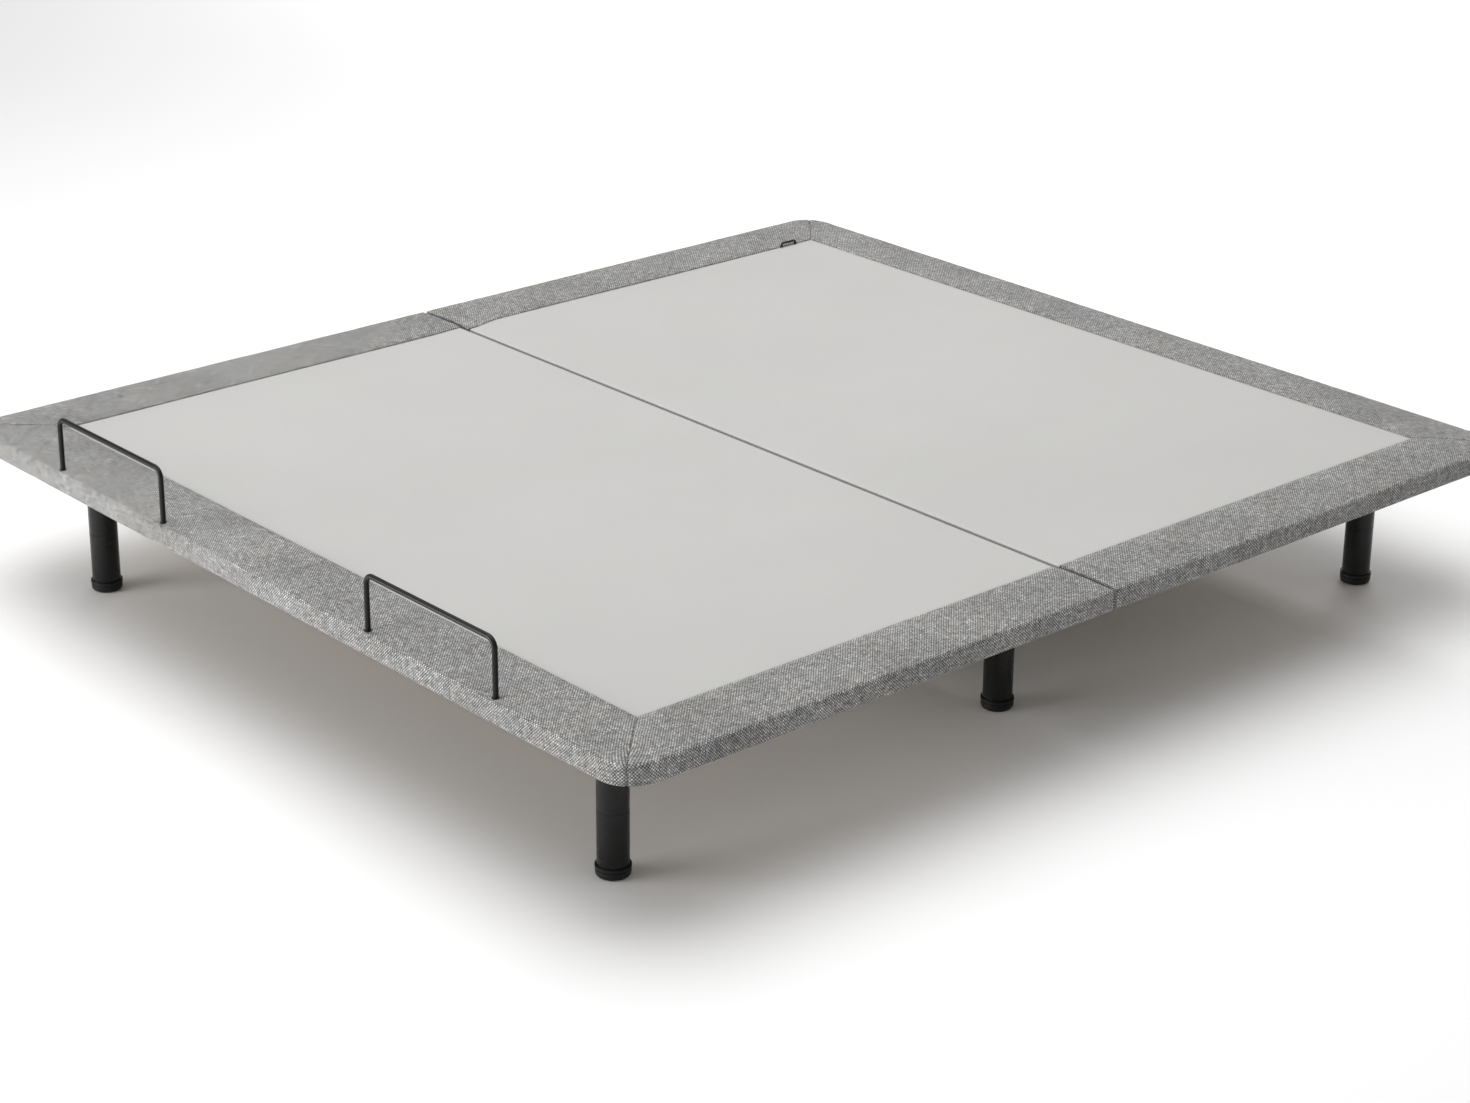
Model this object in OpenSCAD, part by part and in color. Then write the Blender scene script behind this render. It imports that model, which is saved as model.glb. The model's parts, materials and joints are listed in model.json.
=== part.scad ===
// Adjustable bed base: an upholstered two-panel deck on a steel frame with six legs.
// The head panel is raised by a linear drive that turns a torque tube with two lift arms.
// X runs across the bed, Y from foot to head, Z up. The origin is on the floor, at the middle.

/* [Deck] */
// Width of the upholstered deck
deck_w = 1830; // [1200:10:1930]
// Length of the upholstered deck
deck_l = 2030; // [1980:10:2130]
// Height of the deck's top above the floor
deck_h = 290; // [280:5:340]
// Thickness of each upholstered panel
panel_t = 36; // [35:1:38]
// Plan radius of the four outer corners
corner_r = 60; // [50:5:70]
// Width of the woven border along the sides and the foot end
border_w = 128; // [110:1:140]
// Width of the woven border along the head end
border_head_w = 112; // [105:1:140]
// Position of the split between the panels, from the middle
split_y = -12; // [-30:1:0]
// Gap between the two panels
split_gap = 6; // [5:1:8]

/* [Upholstery] */
// Thickness of the covers
cover_t = 2; // [1.5:0.5:3]
// Thickness of the foam under the covers
foam_t = 8; // [6:1:10]
// Thickness of the plywood deck boards
board_t = 12; // [9:1:15]
// Width of the wooden rails under the boards
wood_w = 60; // [50:5:70]
// Width of the cover that is folded under the panel
return_w = 50; // [40:5:60]

/* [Steel frame] */
// Distance of the side rails from the middle
rail_x = 710; // [500:1:740]
// Width of the frame tubes
tube_w = 30; // [25:5:40]
// Height of the frame tubes
tube_h = 40; // [35:5:50]
// Wall of the frame tubes
tube_wall = 2; // [1.5:0.5:3]
// Clear space between the frame and the panels
panel_lift = 32; // [30:1:33]
// Distance of the end legs from the middle, across the bed
end_leg_x = 713; // [700:1:720]
// Distance of the end legs from the middle, along the bed
end_leg_y = 872; // [850:1:890]
// Position of the middle cross member along the bed
mid_cross_y = -35; // [-45:1:-30]
// Distance of the middle legs from the middle
mid_leg_x = 670; // [660:1:690]
// Position of the middle legs along the bed
mid_leg_y = -13; // [-14:1:-10]

/* [Legs] */
// Diameter of the leg tubes
leg_d = 50; // [40:1:60]
// Height of the joint between the two leg sections
leg_joint_z = 110; // [80:5:130]
// Height of the glides
glide_h = 20; // [15:1:25]
// Widest diameter of the glides
glide_d = 56; // [52:1:66]

/* [Head lift] */
// Largest angle of the head panel, in degrees
lift_max = 60; // [45:1:60]
// Distance of the hinge axis below the deck's top
hinge_drop = 24; // [22:1:26]
// Distance of the hinge axis from the head panel's split edge
hinge_back = 33; // [30:1:36]
// Length of the lift arms, from axis to axis
arm_l = 400; // [350:5:410]
// Distance of the lift arms from the middle
arm_x = 300; // [200:5:400]
// Radius of the lift rollers
roller_r = 20; // [18:1:20]
// Length of the crank lever, from axis to axis
crank_l = 70; // [60:1:72]
// Height of the drive's axis above the floor
drive_z = 150; // [148:1:152]

/* [Mattress retainers] */
// Distance of the retainer bars from the middle
retainer_x = 447; // [300:1:480]
// Width of the retainer bars, between post axes
retainer_w = 318; // [250:1:350]
// Height of the retainer bars above the deck
retainer_h = 98; // [60:1:120]
// Diameter of the retainer rod
rod_d = 9; // [7:1:10]
// Distance of the posts from the foot edge
retainer_in = 12; // [12:1:18]

/* [Hidden] */
$fn = 64;
eps = 1;

// Heights of the panel's layers
panel_z = deck_h - panel_t;
foam_z = deck_h - cover_t - foam_t;
board_z = foam_z - board_t;
wood_z = panel_z + cover_t;
wood_h = board_z - wood_z;
wood_gap = 0.5;

// Bevel along the top of the split edges, which lets the head panel turn, and inside the cover
split_bevel_size = 8;
inner_bevel = split_bevel_size - cover_t * (2 - sqrt(2));

// Panel ends on both sides of the split
half_w = deck_w / 2;
head_y = split_y + split_gap / 2;
foot_y = split_y - split_gap / 2;
head_len = deck_l / 2 - head_y;
foot_len = deck_l / 2 + foot_y;

// Frame heights
rail_top = panel_z - panel_lift;
rail_z = rail_top - tube_h;
plate_t = 4;
leg_top = rail_z - plate_t;
rail_end = end_leg_y + 32;
cross_len = 2 * rail_x - tube_w;
leg_wall = 2.5;
glide_floor = 6;
stud_d = 10;
leg_places = [[-end_leg_x, -end_leg_y], [end_leg_x, -end_leg_y], [-mid_leg_x, mid_leg_y],
    [mid_leg_x, mid_leg_y], [-end_leg_x, end_leg_y], [end_leg_x, end_leg_y]];
leg_groove_h = 0.8;
leg_groove_d = 0.6;
riser_places = [-end_leg_y, -450, -100];
riser_half = 30;
bumper_places = [end_leg_y, 560, 220];
bumper_r = 13;

// Hinge
hinge_y = head_y + hinge_back;
hinge_z = deck_h - hinge_drop;
hinge_pin_r = 6;
hinge_eye_r = 11;
hinge_plate_t = 8;
cheek_t = 5;
cheek_r = 13;
running = 0.05;
side_play = 0.5;
pocket_w = 44;
pocket_front = 20;
pocket_back = 110;

// Lift geometry. The arms turn twice as far as the panel. The rollers' line lies below the
// hinge axis, so the arm's axis stands a little further out to keep them near the tracks.
track_t = 3;
track_w = 50;
track_z = board_z - track_t;
roller_play = 0.4;
roller_line = hinge_z - track_z + roller_r + roller_play;
torque_z = rail_z + tube_h / 2;
arm_rest = asin((hinge_z - torque_z - roller_line) / arm_l);
torque_y = hinge_y + arm_l * cos(arm_rest) + roller_line * tan(lift_max / 2);
roller_y = torque_y + arm_l * cos(arm_rest);
roller_z = torque_z + arm_l * sin(arm_rest);
torque_r = 19;
torque_wall = 3;
bush_r = 23;
bearing_t = 20;
bearing_half = 28;
arm_t = 10;
arm_h = 36;
roller_w = 30;
axle_r = 6;
track_from = 270;
track_to = 860;

// Crank and push rod. The nose of the crank slides up and down the flat thrust head, and the
// spare gap at rest lets a drive of constant ratio stay behind the nose all the way.
crank_rest = lift_max;
nose_r = 10;
nose_y = torque_y - crank_l * sin(crank_rest);
nose_z = torque_z - crank_l * cos(crank_rest);
crank_gap = 28;
crank_t = 6;
thrust_gap = 0.09 * crank_l + 0.4;
thrust_face = nose_y - nose_r - thrust_gap;
thrust_t = 12;
thrust_low = 32;
thrust_high = 30;
rod_r = 12;
rod_bore = 8;
drive_tube_r = 20;
drive_tube_bore = 17;
drive_cross_y = 300;
box_x = 40;
box_len = 76;
box_low = drive_z - 46;
box_high = drive_z + 30;
box_wall = 4;
tube_front = thrust_face - thrust_t - 22;
bush_len = 15;
nut_y = box_len + 20;
nut_len = 30;
spindle_r = 6;
wheel_r = 21.8;
worm_r = 5.9;
worm_y = box_len / 2;
worm_z = drive_z - 28;
worm_shaft_r = 4;
worm_half = 22;
race_r = 16;
race_from = 8;
race_to = 20;
motor_r = 28;
motor_len = 110;

// Control box under the foot panel
control_x = 150;
control_y = -270;
control_w = 160;
control_d = 110;
control_h = 40;
control_wall = 2.5;
control_lid = 4;
inlet_x = control_x + 26;
inlet_w = 30;
inlet_low = 8;
inlet_h = 20;

// Retainers
retainer_y = -deck_l / 2 + retainer_in;
rod_rad = rod_d / 2;
bend_r = 16;
socket_r = 6.5;
socket_bore = rod_rad + 0.1;
socket_z = wood_z + 2;
collar_h = 1.5;
post_z = socket_z + 2.3;

// Side loop on the border's inner edge, near the head
loop_x = -half_w + border_w;
loop_y = 838;
loop_len = 43;
loop_h = 9;
loop_rod = 2.4;
loop_bend_r = 5.5;
loop_foot_r = 4;
loop_foot_h = 1.2;

cloth_grey = [0.56, 0.56, 0.55];
cloth_light = [0.80, 0.80, 0.79];
wood_col = [0.72, 0.58, 0.40];
foam_col = [0.88, 0.86, 0.76];
steel_black = [0.09, 0.09, 0.09];
steel_plain = [0.62, 0.63, 0.65];
plastic_black = [0.07, 0.07, 0.07];
plastic_grey = [0.30, 0.31, 0.32];
rubber_col = [0.05, 0.05, 0.05];
nylon_col = [0.86, 0.86, 0.82];

// ---- helpers ----

// Extrudes an outline drawn in Y and Z along X, from x
module across(x, t) {
    translate([x, 0, 0]) rotate([90, 0, 90]) linear_extrude(t) children();
}

// Cylinder along X
module rod_x(r, x0, x1, y, z) {
    translate([x0, y, z]) rotate([0, 90, 0]) cylinder(r = r, h = x1 - x0);
}

// Cylinder along Y
module rod_y(r, y0, y1, x, z) {
    translate([x, y0, z]) rotate([-90, 0, 0]) cylinder(r = r, h = y1 - y0);
}

module block(x0, x1, y0, y1, z0, z1) {
    translate([x0, y0, z0]) cube([x1 - x0, y1 - y0, z1 - z0]);
}

// Plan of a panel with its split edge at y = 0 and rounded outer corners, drawn in by inset
module panel_outline(len, inset = 0) {
    w = half_w - inset;
    r = corner_r - inset;
    translate([-w, inset]) square([2 * w, len - 2 * inset - r]);
    translate([-(w - r), inset]) square([2 * (w - r), len - 2 * inset]);
    for (s = [-1, 1]) translate([s * (w - r), len - inset - r]) circle(r);
}

module layer(len, inset, z, h) {
    translate([0, 0, z]) linear_extrude(h) panel_outline(len, inset);
}

// Puts a panel drawn with its split edge at y = 0 in its place
module at_head() {
    translate([0, head_y, 0]) children();
}

module at_foot() {
    translate([0, foot_y, 0]) mirror([0, 1, 0]) children();
}

// Holes for the four retainer sockets
module socket_holes(r) {
    for (s = [-1, 1], t = [-1, 1])
        translate([s * retainer_x + t * retainer_w / 2, retainer_y, panel_z - eps])
            cylinder(r = r, h = panel_t + 2 * eps);
}

// Pockets that leave room for the hinges in the head panel
module hinge_pockets(z0, z1) {
    for (s = [-1, 1])
        block(s * rail_x - pocket_w / 2, s * rail_x + pocket_w / 2,
            hinge_y - pocket_front, hinge_y + pocket_back, z0, z1);
}

// ---- steel frame ----

module rect_tube_y(x, y0, y1) {
    difference() {
        block(x - tube_w / 2, x + tube_w / 2, y0, y1, rail_z, rail_top);
        block(x - tube_w / 2 + tube_wall, x + tube_w / 2 - tube_wall, y0 + tube_wall,
            y1 - tube_wall, rail_z + tube_wall, rail_top - tube_wall);
    }
}

module rect_tube_x(y) {
    difference() {
        block(-cross_len / 2, cross_len / 2, y - tube_w / 2, y + tube_w / 2, rail_z, rail_top);
        block(-cross_len / 2 + tube_wall, cross_len / 2 - tube_wall, y - tube_w / 2 + tube_wall,
            y + tube_w / 2 - tube_wall, rail_z + tube_wall, rail_top - tube_wall);
    }
}

module left_side_rail() {
    color(steel_black) rect_tube_y(-rail_x, -rail_end, rail_end);
}

module right_side_rail() {
    color(steel_black) rect_tube_y(rail_x, -rail_end, rail_end);
}

module foot_cross_member() {
    color(steel_black) rect_tube_x(-end_leg_y);
}

module mid_cross_member() {
    color(steel_black) rect_tube_x(mid_cross_y);
}

module drive_cross_member() {
    color(steel_black) rect_tube_x(drive_cross_y);
}

module head_cross_member() {
    color(steel_black) rect_tube_x(end_leg_y);
}

module leg_mount_plates() {
    side = 80;
    color(steel_black)
        for (p = leg_places) difference() {
            block(p[0] - side / 2, p[0] + side / 2, p[1] - side / 2, p[1] + side / 2,
                leg_top, rail_z);
            translate([p[0], p[1], leg_top - eps])
                cylinder(d = stud_d, h = plate_t + 2 * eps);
        }
}

// A closed tube with a stud hole in each end
module leg_section(z0, z1) {
    end_t = 4;
    difference() {
        translate([0, 0, z0]) cylinder(d = leg_d, h = z1 - z0);
        translate([0, 0, z0 + end_t]) cylinder(r = leg_d / 2 - leg_wall, h = z1 - z0 - 2 * end_t);
        translate([0, 0, z1 - end_t - eps]) cylinder(d = stud_d, h = end_t + 2 * eps);
        if (z0 > glide_h) translate([0, 0, z0 - eps]) cylinder(d = stud_d, h = end_t + 2 * eps);
        if (z0 < glide_h) translate([0, 0, z1 - leg_groove_h]) difference() {
            cylinder(d = leg_d + 2 * eps, h = leg_groove_h + eps);
            translate([0, 0, -eps])
                cylinder(r = leg_d / 2 - leg_groove_d, h = leg_groove_h + 3 * eps);
        }
    }
}

module leg_upper_sections() {
    color(steel_black)
        for (p = leg_places) translate([p[0], p[1], 0]) leg_section(leg_joint_z, leg_top);
}

module lower_leg(i) {
    p = leg_places[i];
    color(steel_black) translate([p[0], p[1], 0]) leg_section(glide_floor, leg_joint_z);
}

module leg_foot_left() { lower_leg(0); }
module leg_foot_right() { lower_leg(1); }
module leg_mid_left() { lower_leg(2); }
module leg_mid_right() { lower_leg(3); }
module leg_head_left() { lower_leg(4); }
module leg_head_right() { lower_leg(5); }

// A moulded cup with a round lower edge, a groove and a lip
module glide_profile() {
    r = glide_d / 2;
    round_r = 7;
    wall_in = 0.6;
    lip_in = 0.8;
    groove_z = glide_h - 7;
    groove_h = 1.6;
    lip_z = groove_z + groove_h;
    difference() {
        union() {
            square([r - round_r, glide_h]);
            translate([0, round_r]) square([r - wall_in, groove_z - round_r]);
            intersection() {
                translate([r - wall_in - round_r, round_r]) circle(round_r);
                square([r, round_r]);
            }
            square([leg_d / 2 + 1, glide_h]);
            translate([0, lip_z]) square([r, glide_h - lip_z - lip_in]);
            translate([0, lip_z]) square([r - lip_in, glide_h - lip_z]);
        }
        translate([r - round_r - wall_in, -eps]) difference() {
            square([r, round_r + eps]);
            translate([0, round_r + eps]) circle(round_r);
        }
        translate([0, glide_floor]) square([leg_d / 2, glide_h]);
    }
}

module leg_glides() {
    color(plastic_black)
        for (p = leg_places) translate([p[0], p[1], 0]) rotate_extrude() glide_profile();
}

module leg_studs() {
    long = 28;
    color(steel_plain)
        for (p = leg_places, z = [leg_joint_z, rail_z - long / 2])
            translate([p[0], p[1], z - long / 2]) cylinder(d = stud_d, h = long);
}

module foot_panel_risers() {
    color(steel_black)
        for (s = [-1, 1], y = riser_places)
            block(s * rail_x - tube_w / 2, s * rail_x + tube_w / 2, y - riser_half,
                y + riser_half, rail_top, wood_z);
}

module rubber_bumpers() {
    play = 0.3;
    color(rubber_col)
        for (s = [-1, 1], y = bumper_places)
            translate([s * rail_x, y, rail_top])
                cylinder(r = bumper_r, h = wood_z - rail_top - play);
}

// ---- hinge ----

module hinge_brackets() {
    foot0 = 22;
    foot1 = 92;
    foot_t = 6;
    reach = rail_top - hinge_z;
    neck = [7.5, 8];
    gusset_back = foot1 - 10;
    gusset_top = reach + 10;
    color(steel_black)
        for (s = [-1, 1]) {
            difference() {
                across(s * rail_x - hinge_plate_t / 2, hinge_plate_t)
                    translate([hinge_y, hinge_z]) {
                        circle(hinge_eye_r);
                        polygon([-neck, neck, [gusset_back, gusset_top],
                            [gusset_back, reach + foot_t], [foot0, reach + foot_t]]);
                    }
                rod_x(hinge_pin_r, s * rail_x - hinge_plate_t, s * rail_x + hinge_plate_t,
                    hinge_y, hinge_z);
            }
            block(s * rail_x - tube_w / 2, s * rail_x + tube_w / 2, hinge_y + foot0 - 4,
                hinge_y + foot1, rail_top, rail_top + foot_t);
        }
}

module hinge_pins() {
    reach = hinge_plate_t / 2 + side_play + cheek_t + 1;
    head_t = 2;
    head_r = hinge_pin_r + 3;
    color(steel_plain)
        for (s = [-1, 1]) {
            rod_x(hinge_pin_r, s * rail_x - reach, s * rail_x + reach, hinge_y, hinge_z);
            rod_x(head_r, s * rail_x + reach, s * rail_x + reach + head_t, hinge_y, hinge_z);
            rod_x(head_r, s * rail_x - reach - head_t, s * rail_x - reach, hinge_y, hinge_z);
        }
}

module head_hinge_plates() {
    flange_from = hinge_y + 40;
    flange_to = hinge_y + pocket_back;
    flange_w = pocket_w - 4;
    cheek_low = -10;
    color(steel_plain)
        for (s = [-1, 1]) difference() {
            union() {
                for (t = [-1, 1]) {
                    mid = s * rail_x + t * (hinge_plate_t / 2 + side_play + cheek_t / 2);
                    across(mid - cheek_t / 2, cheek_t) {
                        translate([hinge_y, hinge_z]) circle(cheek_r);
                        translate([hinge_y, hinge_z + cheek_low])
                            square([pocket_back, board_z - hinge_z - cheek_low]);
                    }
                }
                block(s * rail_x - flange_w / 2, s * rail_x + flange_w / 2, flange_from,
                    flange_to, board_z - track_t, board_z);
            }
            rod_x(hinge_pin_r + running, s * rail_x - pocket_w, s * rail_x + pocket_w,
                hinge_y, hinge_z);
        }
}

// ---- torque tube and lift arms ----

module torque_bearing_plates() {
    inner = rail_x - tube_w / 2 - bearing_t;
    color(steel_black)
        for (s = [-1, 1]) difference() {
            block(min(s * inner, s * (inner + bearing_t)), max(s * inner, s * (inner + bearing_t)),
                torque_y - bearing_half, torque_y + bearing_half,
                torque_z - bearing_half, torque_z + bearing_half);
            rod_x(bush_r, s * inner - bearing_t - eps, s * inner + bearing_t + eps,
                torque_y, torque_z);
        }
}

module torque_bushes() {
    inner = rail_x - tube_w / 2 - bearing_t - 2;
    color(nylon_col)
        for (s = [-1, 1]) difference() {
            rod_x(bush_r, min(s * inner, s * (inner + bearing_t)),
                max(s * inner, s * (inner + bearing_t)), torque_y, torque_z);
            rod_x(torque_r + running, s * inner - 2 * bearing_t, s * inner + 2 * bearing_t,
                torque_y, torque_z);
        }
}

module torque_tube() {
    reach = rail_x - tube_w / 2 - 1;
    color(steel_black) difference() {
        rod_x(torque_r, -reach, reach, torque_y, torque_z);
        rod_x(torque_r - torque_wall, -reach + torque_wall, reach - torque_wall,
            torque_y, torque_z);
    }
}

// A bar with round ends, from the torque tube's axis to an axle
module lever_outline(len, angle, w) {
    translate([torque_y, torque_z]) rotate(angle) {
        circle(torque_r + 6);
        translate([0, -w / 2]) square([len, w]);
        translate([len, 0]) circle(w / 2);
    }
}

module lift_arm(s) {
    inner = s * arm_x - (s > 0 ? arm_t / 2 + roller_w / 2 + arm_t / 2 + 1 : -roller_w / 2 - 1);
    axle0 = s * arm_x - roller_w / 2 - 1;
    axle1 = s * arm_x + roller_w / 2 + 1;
    color(steel_black) difference() {
        union() {
            across(inner, arm_t) lever_outline(arm_l, arm_rest, arm_h);
            rod_x(axle_r, axle0, axle1, roller_y, roller_z);
            rod_x(axle_r + 3, s > 0 ? axle1 : axle0 - 2, s > 0 ? axle1 + 2 : axle0,
                roller_y, roller_z);
        }
        rod_x(torque_r, inner - eps, inner + arm_t + eps, torque_y, torque_z);
    }
}

module lift_arm_left() { lift_arm(-1); }
module lift_arm_right() { lift_arm(1); }

module roller(s) {
    color(nylon_col) difference() {
        rod_x(roller_r, s * arm_x - roller_w / 2, s * arm_x + roller_w / 2, roller_y, roller_z);
        rod_x(axle_r + running, s * arm_x - roller_w, s * arm_x + roller_w, roller_y, roller_z);
    }
}

module roller_left() { roller(-1); }
module roller_right() { roller(1); }

module crank_lever() {
    w = 30;
    color(steel_black) {
        difference() {
            for (x = [-crank_gap / 2 - crank_t, crank_gap / 2])
                across(x, crank_t) lever_outline(crank_l, 270 - crank_rest, w);
            rod_x(torque_r, -2 * crank_gap, 2 * crank_gap, torque_y, torque_z);
        }
        rod_x(nose_r, -crank_gap / 2 - 1, crank_gap / 2 + 1, nose_y, nose_z);
    }
}

// ---- linear drive ----

module drive_bracket() {
    flange_t = 5;
    plate = 5;
    color(steel_black) {
        block(-box_x, box_x, mid_cross_y - tube_w / 2, 0, rail_z - flange_t, rail_z);
        block(-box_x, box_x, -plate, 0, box_low + 10, rail_z - flange_t);
    }
}

module gearbox_body() {
    difference() {
        union() {
            difference() {
                block(-box_x, box_x, 0, box_len, box_low, box_high);
                block(-box_x + box_wall, box_x - box_wall, box_wall, box_len - box_wall,
                    box_low + box_wall, box_high - box_wall);
            }
            rod_y(race_r + 3, box_wall, race_to, 0, drive_z);
            rod_x(2 * worm_shaft_r, -box_x + box_wall, -box_x + 10, worm_y, worm_z);
        }
        rod_y(race_r, race_from, race_to + eps, 0, drive_z);
        rod_y(race_r - 2, box_len - box_wall - eps, box_len + eps, 0, drive_z);
        rod_x(worm_shaft_r + 0.1, -box_x + 5, -box_x + 11, worm_y, worm_z);
        rod_x(worm_r + 3.1, box_x - box_wall - eps, box_x + eps, worm_y, worm_z);
    }
}

module gearbox_lower() {
    color(plastic_grey) intersection() {
        gearbox_body();
        block(-box_x, box_x, 0, box_len, box_low, drive_z);
    }
}

module gearbox_upper() {
    color(plastic_grey) intersection() {
        gearbox_body();
        block(-box_x, box_x, 0, box_len, drive_z, box_high);
    }
}

module motor_can() {
    wall = 2;
    color(plastic_black) difference() {
        union() {
            rod_x(motor_r, box_x, box_x + motor_len, worm_y, worm_z);
            rod_x(motor_r - 8, box_x + motor_len, box_x + motor_len + 6, worm_y, worm_z);
        }
        rod_x(motor_r - wall, box_x + wall, box_x + motor_len - wall, worm_y, worm_z);
        rod_x(worm_shaft_r + 1, box_x - eps, box_x + 2 * wall, worm_y, worm_z);
    }
}

module worm_shaft() {
    color(steel_plain) {
        rod_x(worm_shaft_r, -box_x + 6, box_x + motor_len - 10, worm_y, worm_z);
        rod_x(worm_r, -worm_half, worm_half, worm_y, worm_z);
    }
}

module worm_wheel() {
    width = 14;
    color(nylon_col) difference() {
        rod_y(wheel_r, worm_y - width / 2, worm_y + width / 2, 0, drive_z);
        rod_y(spindle_r, 0, box_len, 0, drive_z);
    }
}

module spindle_bearing() {
    color(steel_plain) difference() {
        rod_y(race_r, race_from, race_to, 0, drive_z);
        rod_y(spindle_r + running, 0, race_to + eps, 0, drive_z);
    }
}

module spindle() {
    color(steel_plain) rod_y(spindle_r, race_from + eps, tube_front - 30, 0, drive_z);
}

module spindle_nut() {
    color(nylon_col) difference() {
        rod_y(drive_tube_bore - 1, nut_y, nut_y + nut_len, 0, drive_z);
        rod_y(spindle_r + 0.1, nut_y - eps, nut_y + nut_len + eps, 0, drive_z);
    }
}

module actuator_tube() {
    flange = 6;
    color(steel_plain) difference() {
        union() {
            rod_y(drive_tube_r, box_len, tube_front, 0, drive_z);
            rod_y(drive_tube_r + 9, box_len, box_len + flange, 0, drive_z);
        }
        rod_y(drive_tube_bore, box_len - eps, tube_front + eps, 0, drive_z);
    }
}

module tube_end_bush() {
    color(plastic_black) difference() {
        union() {
            rod_y(drive_tube_r + 2, tube_front, tube_front + bush_len, 0, drive_z);
            rod_y(drive_tube_bore, tube_front - 8, tube_front, 0, drive_z);
        }
        rod_y(rod_r + running, tube_front - 9, tube_front + bush_len + eps, 0, drive_z);
    }
}

module tube_hanger() {
    half = 28;
    half_len = 12;
    color(steel_black) difference() {
        block(-half, half, drive_cross_y - half_len, drive_cross_y + half_len,
            drive_z - half + 2, rail_z);
        rod_y(drive_tube_r, drive_cross_y - half, drive_cross_y + half, 0, drive_z);
    }
}

module push_rod() {
    color(steel_plain) {
        difference() {
            rod_y(rod_r, nut_y + nut_len, thrust_face - thrust_t, 0, drive_z);
            rod_y(rod_bore, nut_y, thrust_face - thrust_t - 10, 0, drive_z);
        }
        block(-rod_r, rod_r, thrust_face - thrust_t, thrust_face, drive_z - thrust_low,
            drive_z + thrust_high);
    }
}

// ---- control box ----

module control_box_base() {
    lip = 12;
    color(plastic_black)
        block(control_x - lip, control_x + control_w + lip, control_y, control_y + control_d,
            board_z - control_lid, board_z);
}

module control_box_cover() {
    top = board_z - control_lid;
    low = board_z - control_h;
    color(plastic_black) difference() {
        block(control_x, control_x + control_w, control_y, control_y + control_d, low, top);
        block(control_x + control_wall, control_x + control_w - control_wall,
            control_y + control_wall, control_y + control_d - control_wall,
            low + control_wall, top + eps);
        block(inlet_x, inlet_x + inlet_w, control_y - eps, control_y + control_wall + eps,
            low + inlet_low, low + inlet_low + inlet_h);
    }
}

module power_inlet() {
    low = board_z - control_h + inlet_low;
    rim = 3;
    rim_z = 4;
    depth = 22;
    pin_r = 1.6;
    pin_apart = 4.5;
    color(plastic_grey) {
        difference() {
            block(inlet_x, inlet_x + inlet_w, control_y - 1, control_y + depth,
                low, low + inlet_h);
            block(inlet_x + rim, inlet_x + inlet_w - rim, control_y - 2, control_y + depth - rim_z,
                low + rim_z, low + inlet_h - rim_z);
        }
        for (t = [-1, 1])
            rod_y(pin_r, control_y + rim, control_y + depth - rim,
                inlet_x + inlet_w / 2 + t * pin_apart, low + inlet_h / 2);
    }
}

// ---- panels ----

module panel_board(len) {
    layer(len, cover_t, board_z, board_t);
}

// Wooden rails under a board: one along each edge and two along the bed
module wood_rails(len, long_from) {
    w = half_w - cover_t;
    far = len - cover_t - wood_w;
    near = cover_t + wood_w;
    intersection() {
        union() {
            block(-w, w, cover_t, near, wood_z, board_z);
            block(-w, w, far, len - cover_t, wood_z, board_z);
            for (s = [-1, 1]) {
                outer = s * (w - wood_w / 2);
                block(outer - wood_w / 2, outer + wood_w / 2, near + wood_gap, far - wood_gap,
                    wood_z, board_z);
                block(s * rail_x - wood_w / 2, s * rail_x + wood_w / 2, long_from, far - wood_gap,
                    wood_z, board_z);
            }
        }
        layer(len, cover_t, wood_z, wood_h);
    }
}

// Cuts the top corner of a split edge, with the corner at y and z, along the whole width
module split_bevel(y, z, size) {
    across(-half_w - eps, deck_w + 2 * eps)
        polygon([[y - eps, z - size - eps], [y - eps, z + eps], [y + size + eps, z + eps]]);
}

module panel_foam(len) {
    difference() {
        layer(len, cover_t, foam_z, foam_t);
        split_bevel(cover_t, deck_h - cover_t, inner_bevel);
    }
}

// The whole skin of a panel: top, side bands and folded-under edge, open at the middle below
module cover_skin(len) {
    open = half_w - return_w;
    difference() {
        layer(len, 0, panel_z, panel_t);
        split_bevel(0, deck_h, split_bevel_size);
        difference() {
            layer(len, cover_t, wood_z, panel_t - 2 * cover_t);
            split_bevel(cover_t, deck_h - cover_t, inner_bevel);
        }
        block(-open, open, return_w, len - return_w, panel_z - eps, wood_z + eps);
    }
}

// The part of the skin that the smooth cloth covers: the middle, and the middle of the split edge
module cloth_area(len, end_w) {
    win = half_w - border_w;
    block(-win, win, -eps, len - end_w, wood_z, deck_h + eps);
    block(-win, win, -eps, return_w + eps, panel_z - eps, wood_z + eps);
}

module border_cover(len, end_w) {
    difference() {
        cover_skin(len);
        cloth_area(len, end_w);
    }
}

module centre_cloth(len, end_w) {
    intersection() {
        cover_skin(len);
        cloth_area(len, end_w);
    }
}

module foot_board() {
    color(wood_col) difference() {
        at_foot() panel_board(foot_len);
        socket_holes(socket_r);
    }
}

module foot_rails() {
    color(wood_col) difference() {
        at_foot() wood_rails(foot_len, cover_t + wood_w + wood_gap);
        socket_holes(socket_r);
    }
}

module foot_foam() {
    color(foam_col) difference() {
        at_foot() panel_foam(foot_len);
        socket_holes(socket_r);
    }
}

module foot_border_cover() {
    color(cloth_grey) difference() {
        at_foot() border_cover(foot_len, border_w);
        translate([0, 0, panel_t / 2]) socket_holes(socket_r);
    }
}

module foot_centre_cloth() {
    color(cloth_light) at_foot() centre_cloth(foot_len, border_w);
}

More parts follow.
